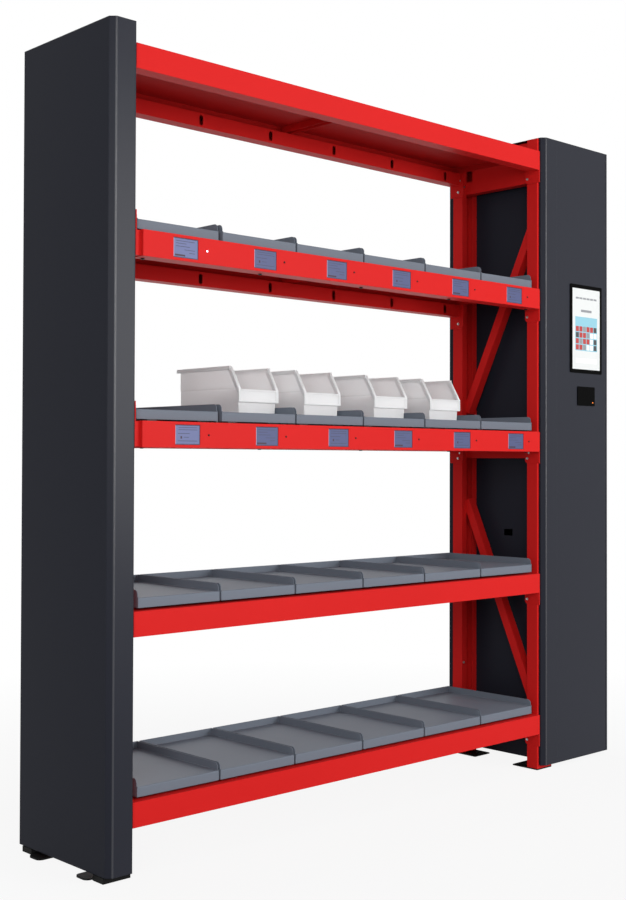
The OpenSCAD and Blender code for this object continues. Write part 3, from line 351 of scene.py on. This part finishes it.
quarter = math.pi / 2
facing = {"-X": Matrix.Rotation(-quarter, 4, "Y"), "+X": Matrix.Rotation(quarter, 4, "Y"),
          "-Y": Matrix.Rotation(quarter, 4, "X"), "+Y": Matrix.Rotation(-quarter, 4, "X"),
          "-Z": Matrix.Rotation(2 * quarter, 4, "X")}


def put_at(x, y, z, side="-Y"):
    return Matrix.Translation((x, y, z)) @ facing[side]


def set_out(pattern, name, places, body):
    made = []
    for number, place in enumerate(places, 1):
        copy = pattern.copy()
        copy.data = pattern.data.copy()
        copy.data.transform(place)
        copy.name = f"{name}_{number}"
        scene.collection.objects.link(copy)
        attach(copy, body)
        made.append(copy)
    return made


zinc_bolt = plated("zinc_bolt", (0.46, 0.45, 0.45), crystal=900.0)
washer_r, washer_t, washer_round = 0.0042, 0.0010, 0.0004
head_r, head_h, head_inset, head_crown = 0.0035, 0.0025, 0.0006, 0.0004
round_sides = 24
# A face looks squarely along an axis when its normal's share along it is over this.
squarely = 0.9
washer = new_cylinder("bolt_washer", round_sides, washer_r, washer_t)
pick_edges(washer, lambda a, b: min(a.z, b.z) > washer_t / 2)
bpy.ops.mesh.bevel(offset=washer_round, segments=2, affect="EDGES")
bpy.ops.object.mode_set(mode="OBJECT")
bolt = new_cylinder("hexagon_bolt", 6, head_r, head_h, base=washer_t)
pick_faces(bolt, lambda middle, normal: normal.z > squarely)
bpy.ops.mesh.inset(thickness=head_inset)
bpy.ops.transform.translate(value=(0, 0, head_crown))
bpy.ops.object.mode_set(mode="OBJECT")
washer.select_set(True)
bpy.ops.object.join()
bolt.data.materials.append(zinc_bolt)

bay_left, bay_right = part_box("front_beams")[0].x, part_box("front_beams")[1].x
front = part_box("left_casing")[0].y
brace_heights = (1.925, 1.007, 0.130)
brace_depths = (0.051, 0.339)
places = []
for height in brace_heights:
    for depth in brace_depths:
        places.append(put_at(bay_right, front + depth, height, "-X"))
        places.append(put_at(bay_left, front + depth, height, "+X"))
lip_heights = (1.904, 0.306)
lip_in, front_lip, rear_lip = 0.008, 0.060, 0.330
for height in lip_heights:
    for x in (bay_left - lip_in, bay_right + lip_in):
        places.append(put_at(x, front + rear_lip, height, "-Y"))
        places.append(put_at(x, front + front_lip, height, "+Y"))
set_out(bolt, "frame_bolt", places, "rack")

# Beams and decks: roll-formed step beams with welded end plates, each bolted to its upright, and pressed
# decks with a tie under each, in red; the decks are painted a darker red as painted shade for their shaded
# undersides.
dress(red_coat, "front_beams", "rear_beams", "deck_ties")
# The decks' darker red is painted shade under the top deck.
dress(coated("deck_shade_coat", (0.53, 0.014, 0.013), roughness=0.5, specular=0.05), "deck_panels")
level_tops = (0.176, 0.623, 1.072, 1.525, 1.969)
rail_levels = (3, 4)
plate_t = 0.003
plate_depths = (0.057, 0.345)
bolt_drop, raised_bolt = 0.083, 0.023
places = []
for level, top in enumerate(level_tops, 1):
    left_rise = raised_bolt if level in rail_levels else -bolt_drop
    for depth in plate_depths:
        places.append(put_at(bay_right - plate_t, front + depth, top - bolt_drop, "-X"))
        places.append(put_at(bay_left + plate_t, front + depth, top + left_rise, "+X"))
set_out(bolt, "plate_bolt", places, "rack")
bpy.data.objects.remove(bolt)

# Label rails: folded red fascias over two of the front beams, each held from below by
# five black button-head screws.
dress(red_coat, "label_rails")
black_steel = coated("black_steel", (0.005, 0.005, 0.006), roughness=0.4, grain=2500.0, specular=0.15)
screw_r, screw_h, screw_round = 0.0052, 0.0028, 0.0018
socket_inset, socket_depth = 0.0014, 0.0014
dead_level = 0.99
screw = new_cylinder("button_screw", round_sides, screw_r, screw_h)
pick_edges(screw, lambda a, b: min(a.z, b.z) > screw_h / 2)
bpy.ops.mesh.bevel(offset=screw_round, segments=3, affect="EDGES")
pick_faces(screw, lambda middle, normal: normal.z > dead_level and middle.z > screw_h / 2)
bpy.ops.mesh.inset(thickness=socket_inset)
bpy.ops.mesh.extrude_region_move(TRANSFORM_OT_translate={"value": (0, 0, -socket_depth)})
bpy.ops.object.mode_set(mode="OBJECT")
screw.data.materials.append(black_steel)
rail_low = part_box("label_rails")[0]
lower_top, upper_top = (level_tops[level - 1] for level in rail_levels)
hole_in, hole_pitch, hole_depth, holes_per_rail = 0.024, 0.373, 0.036, 5
first_hole = rail_low.x + hole_in
places = [put_at(first_hole + k * hole_pitch, front + hole_depth, z, "-Z")
          for z in (rail_low.z, rail_low.z + upper_top - lower_top) for k in range(holes_per_rail)]
set_out(screw, "rail_screw", places, "rack")

# Shelf labels: flat electronic paper displays behind the windows of the rails, each a
# blue-grey sheet with thin printed rules and one dark block, framed by a painted border:
# painted shadow along the top, painted shade along the right and bottom, a painted highlight
# along the left. The first page of each rail is painted paler, as painted light.
paper = coated("label_case", (0.11, 0.125, 0.21), roughness=0.5)
dress(paper, "shelf_labels")


def upright_sheet(name, width, height, x_cuts, z_cuts):
    bpy.ops.object.select_all(action="DESELECT")
    bpy.ops.mesh.primitive_plane_add(size=1.0)
    sheet = bpy.context.object
    sheet.name = name
    sheet.scale = (width, height, 1.0)
    sheet.rotation_euler = (quarter, 0, 0)
    bpy.ops.object.transform_apply(rotation=True, scale=True)
    bpy.ops.object.mode_set(mode="EDIT")
    for x in x_cuts:
        bpy.ops.mesh.select_all(action="SELECT")
        bpy.ops.mesh.bisect(plane_co=(x, 0, 0), plane_no=(1, 0, 0))
    for z in z_cuts:
        bpy.ops.mesh.select_all(action="SELECT")
        bpy.ops.mesh.bisect(plane_co=(0, 0, z), plane_no=(0, 0, 1))
    bpy.ops.object.mode_set(mode="OBJECT")
    return sheet


def paint_faces(sheet, materials, choose):
    for material in materials:
        sheet.data.materials.append(material)
    for face in sheet.data.polygons:
        face.material_index = choose(face.center.x, face.center.z)


def thicken(piece, thickness):
    wall = piece.modifiers.new("wall", "SOLIDIFY")
    wall.thickness = thickness
    wall.offset = -1
    bpy.context.view_layer.objects.active = piece
    bpy.ops.object.modifier_apply(modifier="wall")


# The rule and block inks also paint the border's shade, and the edge ink paints its highlight.
page_inks = [coated("page_blue", (0.066, 0.080, 0.190), roughness=0.45, grain=1600.0, drift=0.25),
             coated("page_rule_and_shade", (0.040, 0.045, 0.096), roughness=0.45, grain=1600.0),
             coated("page_block_and_shadow", (0.036, 0.014, 0.036), roughness=0.45, grain=1600.0),
             coated("page_lit_edge", (0.34, 0.32, 0.46), roughness=0.45, grain=1600.0)]
paper_ink, rule_and_shade_ink, block_and_shadow_ink, lit_edge_ink = range(len(page_inks))
# A paler copy of the page ink, as painted light on the first page of each rail.
page_painted_lit = coated("page_painted_lit", (0.125, 0.148, 0.31), roughness=0.45, grain=1600.0, drift=0.25)
label_w, label_h = 0.0754, 0.0484
page_t = 0.0003
# Inside these half widths lies the page; outside them lies its border of painted light and shade.
painted_rim_x, painted_rim_z = 0.0355, 0.0222
# Each rule: its height on the page, then where it starts and ends.
rules = {"tall": ((0.0165, -0.030, 0.028), (0.0105, -0.030, 0.002), (0.0035, -0.030, 0.012),
                  (-0.0040, -0.004, 0.028), (-0.0110, 0.010, 0.028)),
         "wide": ((0.0175, -0.028, 0.030), (0.0120, -0.028, 0.030), (0.0030, -0.030, 0.006),
                  (-0.0060, -0.012, 0.004), (-0.0150, -0.030, 0.030))}
rule_t = 0.0007


def label_page(name, lines, block):
    left, right, low, high = block
    x_cuts = sorted({x for z, *ends in lines for x in ends} | {left, right, painted_rim_x, -painted_rim_x})
    z_cuts = sorted({z + s for z, *ends in lines for s in (-rule_t, rule_t)}
                    | {low, high, painted_rim_z, -painted_rim_z})
    page = upright_sheet(name, label_w, label_h, x_cuts, z_cuts)

    def ink(x, z):
        # The border: painted shadow at the top, painted shade at the right and bottom, painted highlight at
        # the left.
        if z > painted_rim_z:
            return block_and_shadow_ink
        if x > painted_rim_x or z < -painted_rim_z:
            return rule_and_shade_ink
        if x < -painted_rim_x:
            return lit_edge_ink
        if left < x < right and low < z < high:
            return block_and_shadow_ink
        ruled = any(abs(z - at) < rule_t and start < x < end for at, start, end in lines)
        return rule_and_shade_ink if ruled else paper_ink

    paint_faces(page, page_inks, ink)
    thicken(page, page_t)
    return page


label_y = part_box("shelf_labels")[0].y - page_t
pages = [label_page("label_page_a", rules["tall"], block=(-0.034, -0.002, -0.0205, -0.0160)),
         label_page("label_page_b", rules["wide"], block=(-0.022, -0.017, -0.0095, -0.0035))]
label_pitch, labels_per_rail = 0.257, 6
bay_middle = (bay_left + bay_right) / 2
label_heights = (1.0419, 1.4949)
label_shifts = (0.008, 0.0)
middle_label = (labels_per_rail - 1) / 2
label_places = [(bay_middle + shift + (i - middle_label) * label_pitch, height)
                for shift, height in zip(label_shifts, label_heights) for i in range(labels_per_rail)]
for kind, page in enumerate(pages):
    places = [Matrix.Translation((x, label_y, z)) for n, (x, z) in enumerate(label_places)
              if (n + n // labels_per_rail) % 2 != kind]
    for made in set_out(page, page.name, places, "rack"):
        # The first page of each rail takes the painted light copy.
        if made.data.vertices[0].co.x < bay_left + label_pitch:
            made.data.materials[0] = page_painted_lit
    bpy.data.objects.remove(page)

# Indicator lamps: small tinted light-emitting diodes pressed into the rail beside each
# label; the first of the upper rail is lit.
lens_dark = coated("lens_dark", (0.006, 0.004, 0.005), roughness=0.3, grain=3000.0, specular=0.2)
dress(lens_dark, "indicator_lamps")
lens_lit = coated("lens_lit", (0.9, 0.92, 1.0), roughness=0.3, grain=3000.0)
glow = lens_lit.node_tree.nodes["Principled BSDF"]
glow.inputs["Emission Color"].default_value = (0.80, 0.82, 1.0, 1)
glow.inputs["Emission Strength"].default_value = 3.0
bpy.ops.object.select_all(action="DESELECT")
cap_r, dome = 0.0024, 0.68
bpy.ops.mesh.primitive_uv_sphere_add(segments=24, ring_count=12, radius=cap_r)
cap = bpy.context.object
cap.name = "lamp_cap"
bpy.ops.object.mode_set(mode="EDIT")
bpy.ops.mesh.select_all(action="SELECT")
bpy.ops.mesh.bisect(plane_co=(0, 0, 0), plane_no=(0, 0, 1), clear_inner=True, use_fill=True)
bpy.ops.mesh.select_all(action="SELECT")
bpy.ops.transform.resize(value=(1, 1, dome), center_override=(0, 0, 0))
bpy.ops.object.mode_set(mode="OBJECT")
round_angle = math.radians(40)
bpy.ops.object.shade_smooth_by_angle(angle=round_angle)
cap.data.materials.append(lens_dark)
lamp_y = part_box("indicator_lamps")[0].y
lamp_offset = 0.065
places = [put_at(x + lamp_offset, lamp_y, z) for x, z in label_places]
caps = set_out(cap, "lamp_cap", places, "rack")
first_upper = labels_per_rail
caps[first_upper].data.materials[0] = lens_lit
bpy.data.objects.remove(cap)

# Weighing places: milled aluminium beam cells with a dull grey finish on the decks, each
# under a zinc plated plate that carries a tray.
dress(plated("cell_aluminium", (0.24, 0.24, 0.25), crystal=1500.0), "load_cells")
zinc_sheet = plated("zinc_sheet", (0.42, 0.43, 0.44), crystal=120.0)
dress(zinc_sheet, "weigh_plates", "equipment_plate")

# Trays: steel sheet folded up at three sides, down and back at the front, with a skirt
# under the rear, in blue-grey powder coat; they rest loose on their weigh plates. A weld
# ground flush at the outside closes the bend relief of each rear corner.
tray_coat = coated("tray_coat", (0.162, 0.187, 0.226), roughness=0.5, specular=0.12)
trays = [name for name in nodes if name.startswith("tray_")]
dress(tray_coat, *trays)
relief = 0.003
half_relief, weld_r = 0.5 * relief, 0.7 * relief
wall_rise = 0.0205
bpy.ops.object.select_all(action="DESELECT")
bpy.ops.mesh.primitive_uv_sphere_add(segments=16, ring_count=8, radius=weld_r)
weld = bpy.context.object
weld.name = "corner_weld"
bpy.ops.object.mode_set(mode="EDIT")
for flat in (Vector((1, 0, 0)), Vector((0, 1, 0)), Vector((0, 0, -1))):
    bpy.ops.mesh.select_all(action="SELECT")
    bpy.ops.mesh.bisect(plane_co=half_relief * flat, plane_no=flat, clear_outer=True, use_fill=True)
bpy.ops.object.mode_set(mode="OBJECT")
bpy.ops.object.shade_smooth_by_angle(angle=round_angle)
weld.data.materials.append(tray_coat)
about = Matrix.Rotation(quarter, 4, "Z")
for name in trays:
    low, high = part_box(name)
    weld_y, weld_z = high.y - half_relief, high.z - wall_rise + half_relief
    right_corner = Matrix.Translation((high.x - half_relief, weld_y, weld_z))
    left_corner = Matrix.Translation((low.x + half_relief, weld_y, weld_z)) @ about
    corners = [right_corner, left_corner]
    set_out(weld, name.replace("tray", "corner_weld"), corners, f"{name}_body")
bpy.data.objects.remove(weld)

# Bins: white hopper-front boxes, injection moulded in one shot with a hooked rim, a
# ledge round the sides and a label holder across the front. They stand loose on trays.
bin_plastic = coated("bin_plastic", (0.955, 0.965, 0.965), roughness=0.45, grain=1800.0, drift=0.04,
                     depth=0.00004)
milky = bin_plastic.node_tree.nodes["Principled BSDF"]
milky.inputs["Subsurface Weight"].default_value = 0.45
milky.inputs["Subsurface Radius"].default_value = (0.05, 0.048, 0.046)
milky.inputs["Subsurface Scale"].default_value = 1.0
half_w, body_l, body_h = 0.065, 0.251, 0.123
foot_y, band_low, band_high = 0.008, 0.030, 0.063
ledge_low, ledge_high = 0.0655, 0.0670
rim_half, rim_reach, rim_h, slope_y = 0.069, 0.009, 0.008, 0.036
post_w, holder_frame, holder_depth = 0.009, 0.004, 0.001
under_ledge, foot_narrow, foot_short = 0.983, 0.965, 0.984
wall_t, soft_edge, soft_post = 0.0025, 0.0007, 0.0012
slope_normal = (0, band_high - body_h, slope_y)
bpy.ops.object.select_all(action="DESELECT")
bpy.ops.mesh.primitive_cube_add(size=1.0, location=(0, (foot_y + body_l) / 2, body_h / 2))
hopper = bpy.context.object
hopper.name = "hopper_bin"
hopper.scale = (2 * half_w, body_l - foot_y, body_h)
bpy.ops.object.transform_apply(location=True, scale=True)
bpy.ops.object.mode_set(mode="EDIT")
for z in (band_low, band_high, ledge_low, ledge_high):
    bpy.ops.mesh.select_all(action="SELECT")
    bpy.ops.mesh.bisect(plane_co=(0, 0, z), plane_no=(0, 0, 1))
tiny = 0.0002
pick_edges(hopper, lambda a, b: max(a.z, b.z) < ledge_low + tiny)
bpy.ops.transform.resize(value=(under_ledge, 1, 1), center_override=(0, 0, 0))
pick_edges(hopper, lambda a, b: max(a.z, b.z) < tiny)
bpy.ops.transform.resize(value=(foot_narrow, foot_short, 1), center_override=(0, foot_y, 0))
pick_faces(hopper, lambda middle, normal: normal.y < -squarely and band_low < middle.z < band_high)
bpy.ops.mesh.extrude_region_move(TRANSFORM_OT_translate={"value": (0, -foot_y, 0)})
bpy.ops.transform.resize(value=(rim_half / half_w / under_ledge, 1, 1), center_override=(0, 0, 0))
bpy.ops.mesh.inset(thickness=holder_frame)
window = (rim_half - post_w) / (rim_half - holder_frame)
bpy.ops.transform.resize(value=(window, 1, 1), center_override=(0, 0, 0))
bpy.ops.mesh.extrude_region_move(TRANSFORM_OT_translate={"value": (0, holder_depth, 0)})
bpy.ops.mesh.select_all(action="SELECT")
bpy.ops.mesh.bisect(plane_co=(0, 0, band_high), plane_no=slope_normal, clear_outer=True)
pick_faces(hopper, lambda middle, normal: (normal.z > squarely and middle.z > body_h - tiny)
           or (normal.y < -squarely and middle.z > band_high))
bpy.ops.mesh.delete(type="FACE")
pick_edges(hopper, lambda a, b: min(a.z, b.z) > body_h - tiny)
bpy.ops.mesh.extrude_edges_move(TRANSFORM_OT_translate={"value": (0, 0, 0)})
bpy.ops.transform.resize(value=(rim_half / half_w, 1, 1), center_override=(0, 0, 0))
pick_edges(hopper, lambda a, b: min(abs(a.x), abs(b.x)) > half_w + tiny
           and min(a.y, b.y) > body_l - tiny)
bpy.ops.transform.translate(value=(0, rim_reach, 0))
pick_edges(hopper, lambda a, b: min(abs(a.x), abs(b.x)) > half_w + tiny
           and min(a.z, b.z) > body_h - tiny)
bpy.ops.mesh.extrude_edges_move(TRANSFORM_OT_translate={"value": (0, 0, -rim_h)})
bpy.ops.object.mode_set(mode="OBJECT")
thicken(hopper, wall_t)


fold_angle = math.radians(35)


def rounded(piece, width):
    soften = piece.modifiers.new("soften", "BEVEL")
    soften.width = width
    soften.segments = 2
    soften.limit_method = "ANGLE"
    soften.angle_limit = fold_angle
    bpy.context.view_layer.objects.active = piece
    bpy.ops.object.modifier_apply(modifier="soften")


rounded(hopper, soft_edge)
posts = []
for side in (-1, 1):
    bpy.ops.object.select_all(action="DESELECT")
    middle = (side * (rim_half - post_w / 2), (slope_y + rim_h) / 2, (band_high - rim_h + body_h) / 2)
    bpy.ops.mesh.primitive_cube_add(size=1.0, location=middle)
    post = bpy.context.object
    post.scale = (post_w, slope_y + rim_h, body_h - band_high + rim_h)
    bpy.ops.object.transform_apply(location=True, scale=True)
    bpy.ops.object.mode_set(mode="EDIT")
    bpy.ops.mesh.select_all(action="SELECT")
    bpy.ops.mesh.bisect(plane_co=(0, 0, band_high), plane_no=slope_normal,
                        clear_outer=True, use_fill=True)
    bpy.ops.mesh.select_all(action="SELECT")
    bpy.ops.mesh.bisect(plane_co=(0, rim_h, band_high - rim_h), plane_no=slope_normal,
                        clear_inner=True, use_fill=True)
    bpy.ops.object.mode_set(mode="OBJECT")
    rounded(post, soft_post)
    posts.append(post)
bpy.ops.object.select_all(action="DESELECT")
for piece in (*posts, hopper):
    piece.select_set(True)
bpy.context.view_layer.objects.active = hopper
bpy.ops.object.join()
bpy.ops.object.shade_smooth_by_angle(angle=fold_angle)
hopper.data.materials.append(bin_plastic)
tray_pitch, middle_tray = 0.255, 3.5
bin_depth, bin_z = 0.070, 1.102
bin_y = front + bin_depth
bin_shifts = (0.037, 0.014, 0.032, 0.015)
for number, shift in enumerate(bin_shifts, 1):
    tray_number = number + 1
    x = bay_middle + (tray_number - middle_tray) * tray_pitch + shift
    made, = set_out(hopper, f"hopper_bin_{number}", [Matrix.Translation((x, bin_y, bin_z))],
                    f"bin_{number}_body")
    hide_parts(f"bin_{number}")
bpy.data.objects.remove(hopper)

# Casings: folded charcoal covers at both ends of the rack, with a thin clear coat on the
# front that gathers along its folds, and the service door in the cabinet's right side with
# its hinge pins, foam seal and black quarter-turn lock.
charcoal_coat = coated("charcoal_coat", (0.0184, 0.020, 0.029), roughness=0.35, specular=0.04, edge=0.004)
fold_in, fold_bright, fold_fade = 0.013, 0.0015, 0.0035
front_limit, front_gloss = 0.5, 0.2
tree = charcoal_coat.node_tree
shader = tree.nodes["Principled BSDF"]
shader.inputs["Coat Roughness"].default_value = 0.3
sheet = tree.nodes.new("ShaderNodeNewGeometry")
fronting = tree.nodes.new("ShaderNodeVectorMath")
fronting.operation = "DOT_PRODUCT"
fronting.inputs[1].default_value = (0.0, -1.0, 0.0)
gloss = tree.nodes.new("ShaderNodeMapRange")
gloss.inputs["From Min"].default_value = front_limit
gloss.inputs["To Max"].default_value = front_gloss
tree.links.new(sheet.outputs["True Normal"], fronting.inputs[0])
tree.links.new(fronting.outputs["Value"], gloss.inputs["Value"])
place = tree.nodes.new("ShaderNodeTexCoord")
plan = tree.nodes.new("ShaderNodeVectorMath")
plan.operation = "MULTIPLY"
plan.inputs[1].default_value = (1.0, 1.0, 0.0)
tree.links.new(place.outputs["Object"], plan.inputs[0])
clear = gloss.outputs["Result"]
for cover in ("left_casing", "cabinet_shell"):
    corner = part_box(cover)[0]
    apart = tree.nodes.new("ShaderNodeVectorMath")
    apart.operation = "DISTANCE"
    apart.inputs[1].default_value = (corner.x + fold_in, corner.y, 0.0)
    along_fold = tree.nodes.new("ShaderNodeMapRange")
    along_fold.inputs["From Min"].default_value = fold_bright
    along_fold.inputs["From Max"].default_value = fold_fade
    along_fold.inputs["To Min"].default_value = 1.0
    along_fold.inputs["To Max"].default_value = 0.0
    brighter = tree.nodes.new("ShaderNodeMath")
    brighter.operation = "MAXIMUM"
    tree.links.new(plan.outputs["Vector"], apart.inputs[0])
    tree.links.new(apart.outputs["Value"], along_fold.inputs["Value"])
    tree.links.new(clear, brighter.inputs[0])
    tree.links.new(along_fold.outputs["Result"], brighter.inputs[1])
    clear = brighter.outputs[0]
tree.links.new(clear, shader.inputs["Coat Weight"])
rounding = next(node for node in tree.nodes if node.type == "BEVEL")
tree.links.new(rounding.outputs["Normal"], shader.inputs["Coat Normal"])
dress(charcoal_coat, "left_casing", "cabinet_shell", "service_door")
dress(plated("pin_steel", (0.6, 0.6, 0.61), crystal=600.0), "hinge_pins")
foam = coated("seal_rubber", (0.012, 0.012, 0.012), roughness=0.85, grain=500.0, depth=0.0004,
              specular=0.1)
dress(foam, "door_seal")
dress(black_steel, "door_lock")
inlet_flange = 0.003
leaf_t, leaf_hole, leaf_half = 0.0015, 0.018, 0.0205
hinge_heights = (0.235, 1.015, 1.795)
leaf_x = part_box("door_seal")[0].x - leaf_hole
leaf_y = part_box("power_inlet")[1].y - inlet_flange + leaf_t
places = [put_at(leaf_x, leaf_y, z + s * leaf_half, "+Y") for z in hinge_heights for s in (-1, 1)]
set_out(screw, "hinge_screw", places, "rack")

# Console: a touch screen with a black moulded frame and a sheet of glass, and a card
# reader with an orange lamp, both let into the cabinet's front.
black_plastic = coated("black_plastic", (0.003, 0.003, 0.003), roughness=0.45, grain=2200.0, specular=0.01)
dress(black_plastic, "touch_screen", "card_reader", "power_inlet")
glass = coated("screen_glass", (0.02, 0.025, 0.03), roughness=0.08, grain=400.0, depth=0.000004,
               specular=0.5)
dress(glass, "screen_glass")
orange = coated("orange_lens", (1.0, 0.22, 0.02), roughness=0.25, grain=2500.0)
glow = orange.node_tree.nodes["Principled BSDF"]
glow.inputs["Emission Color"].default_value = (1.0, 0.30, 0.06, 1)
glow.inputs["Emission Strength"].default_value = 1.2
dress(orange, "reader_lamp")


# Screen page: the lit picture on the touch screen, a plain stock map with one field per
# tray over a row of keys.
def lit_page(name, colour):
    half = tuple(0.5 * c for c in colour)
    made = coated(name, half, roughness=0.3, grain=2000.0, drift=0.2, specular=0.4)
    shader = made.node_tree.nodes["Principled BSDF"]
    shader.inputs["Emission Color"].default_value = (*half, 1)
    shader.inputs["Emission Strength"].default_value = 1.0
    return made


page_colours = [lit_page("page_pale", (0.82, 0.84, 0.83)), lit_page("page_white", (0.95, 0.95, 0.95)),
                lit_page("page_sky", (0.30, 0.62, 0.74)), lit_page("page_red", (0.52, 0.04, 0.035)),
                lit_page("page_grey", (0.30, 0.31, 0.33)), lit_page("page_ink", (0.05, 0.05, 0.055))]
plain, bright, sky, red, grey, dark = range(len(page_colours))
glass_low, glass_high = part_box("screen_glass")
glass_w, glass_h = glass_high.x - glass_low.x, glass_high.z - glass_low.z
field_pitch, field_gap, map_left, map_foot, map_top = 0.020, 0.0015, -0.060, -0.070, 0.040
keys_low, keys_high = -0.112, -0.096
note_low, note_high, note_half = 0.056, 0.064, 0.030
title_low, title_high = 0.098, 0.104
fields = ((red, red, grey, bright, bright, dark), (red, grey, red, red, bright, dark),
          (dark, red, red, grey, bright, bright), (red, red, grey, red, red, dark))
columns = [map_left + field_pitch * k for k in range(len(fields[0]) + 1)]
rows = [map_foot + field_pitch * k for k in range(len(fields) + 1)]
x_cuts = sorted({x + s for x in columns for s in (-field_gap, field_gap)} | {-note_half, note_half})
z_cuts = sorted({z + s for z in rows for s in (-field_gap, field_gap)}
                | {keys_low, keys_high, map_top, note_low, note_high, title_low, title_high})
screen_page = upright_sheet("screen_page", glass_w, glass_h, x_cuts, z_cuts)


def between(lines, at):
    for k, (start, end) in enumerate(zip(lines, lines[1:])):
        if start + field_gap < at < end - field_gap:
            return k
    return None


def page_colour(x, z):
    column, row = between(columns, x), between(rows, z)
    if column is not None and row is not None:
        return fields[row][column]
    if rows[0] - field_gap < z < map_top and columns[0] - field_gap < x < columns[-1] + field_gap:
        return sky
    if keys_low < z < keys_high and column is not None:
        return bright
    if note_low < z < note_high and abs(x) < note_half:
        return grey
    if title_low < z < title_high and column is not None:
        return grey
    return plain


paint_faces(screen_page, page_colours, page_colour)
thicken(screen_page, page_t)
glass_x, glass_z = (glass_low.x + glass_high.x) / 2, (glass_low.z + glass_high.z) / 2
screen_page.data.transform(Matrix.Translation((glass_x, glass_low.y - page_t, glass_z)))
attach(screen_page, "rack")

# Equipment: the control computer, the weighing hub and the power supply screwed to a
# zinc plated plate behind the service door, and a mains inlet in the rear panel.
dress(coated("device_grey", (0.08, 0.085, 0.09), roughness=0.5, grain=1200.0), "control_computer")
dress(coated("device_light", (0.5, 0.51, 0.5), roughness=0.5, grain=1200.0), "weighing_hub", "power_supply")
plate_low, plate_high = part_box("equipment_plate")
corner_in = 0.012
places = [put_at(plate_high.x, y, z, "+X") for y in (plate_low.y + corner_in, plate_high.y - corner_in)
          for z in (plate_low.z + corner_in, plate_high.z - corner_in)]
set_out(screw, "equipment_screw", places, "rack")
bpy.data.objects.remove(screw)
pin_w, pin_l, pin_h, pin_inset, pin_point = 0.002, 0.009, 0.006, 0.0005, 0.0008
bpy.ops.object.select_all(action="DESELECT")
bpy.ops.mesh.primitive_cube_add(size=1.0)
contact = bpy.context.object
contact.name = "contact_pin"
contact.scale = (pin_w, pin_l, pin_h)
bpy.ops.object.transform_apply(scale=True)
pick_faces(contact, lambda middle, normal: normal.y > squarely)
bpy.ops.mesh.inset(thickness=pin_inset)
bpy.ops.transform.translate(value=(0, pin_point, 0))
bpy.ops.object.mode_set(mode="OBJECT")
contact.data.materials.append(plated("contact_nickel", (0.62, 0.60, 0.55), crystal=900.0))
inlet_low, inlet_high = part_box("power_inlet")
cup_floor = (inlet_low.y + inlet_high.y + inlet_flange) / 2
inlet_x, inlet_z = (inlet_low.x + inlet_high.x) / 2, (inlet_low.z + inlet_high.z) / 2
pin_spots = ((-0.007, -0.002), (0.0, 0.003), (0.007, -0.002))
places = [Matrix.Translation((inlet_x + x, cup_floor + pin_l / 2, inlet_z + z)) for x, z in pin_spots]
set_out(contact, "contact_pin", places, "rack")
bpy.data.objects.remove(contact)
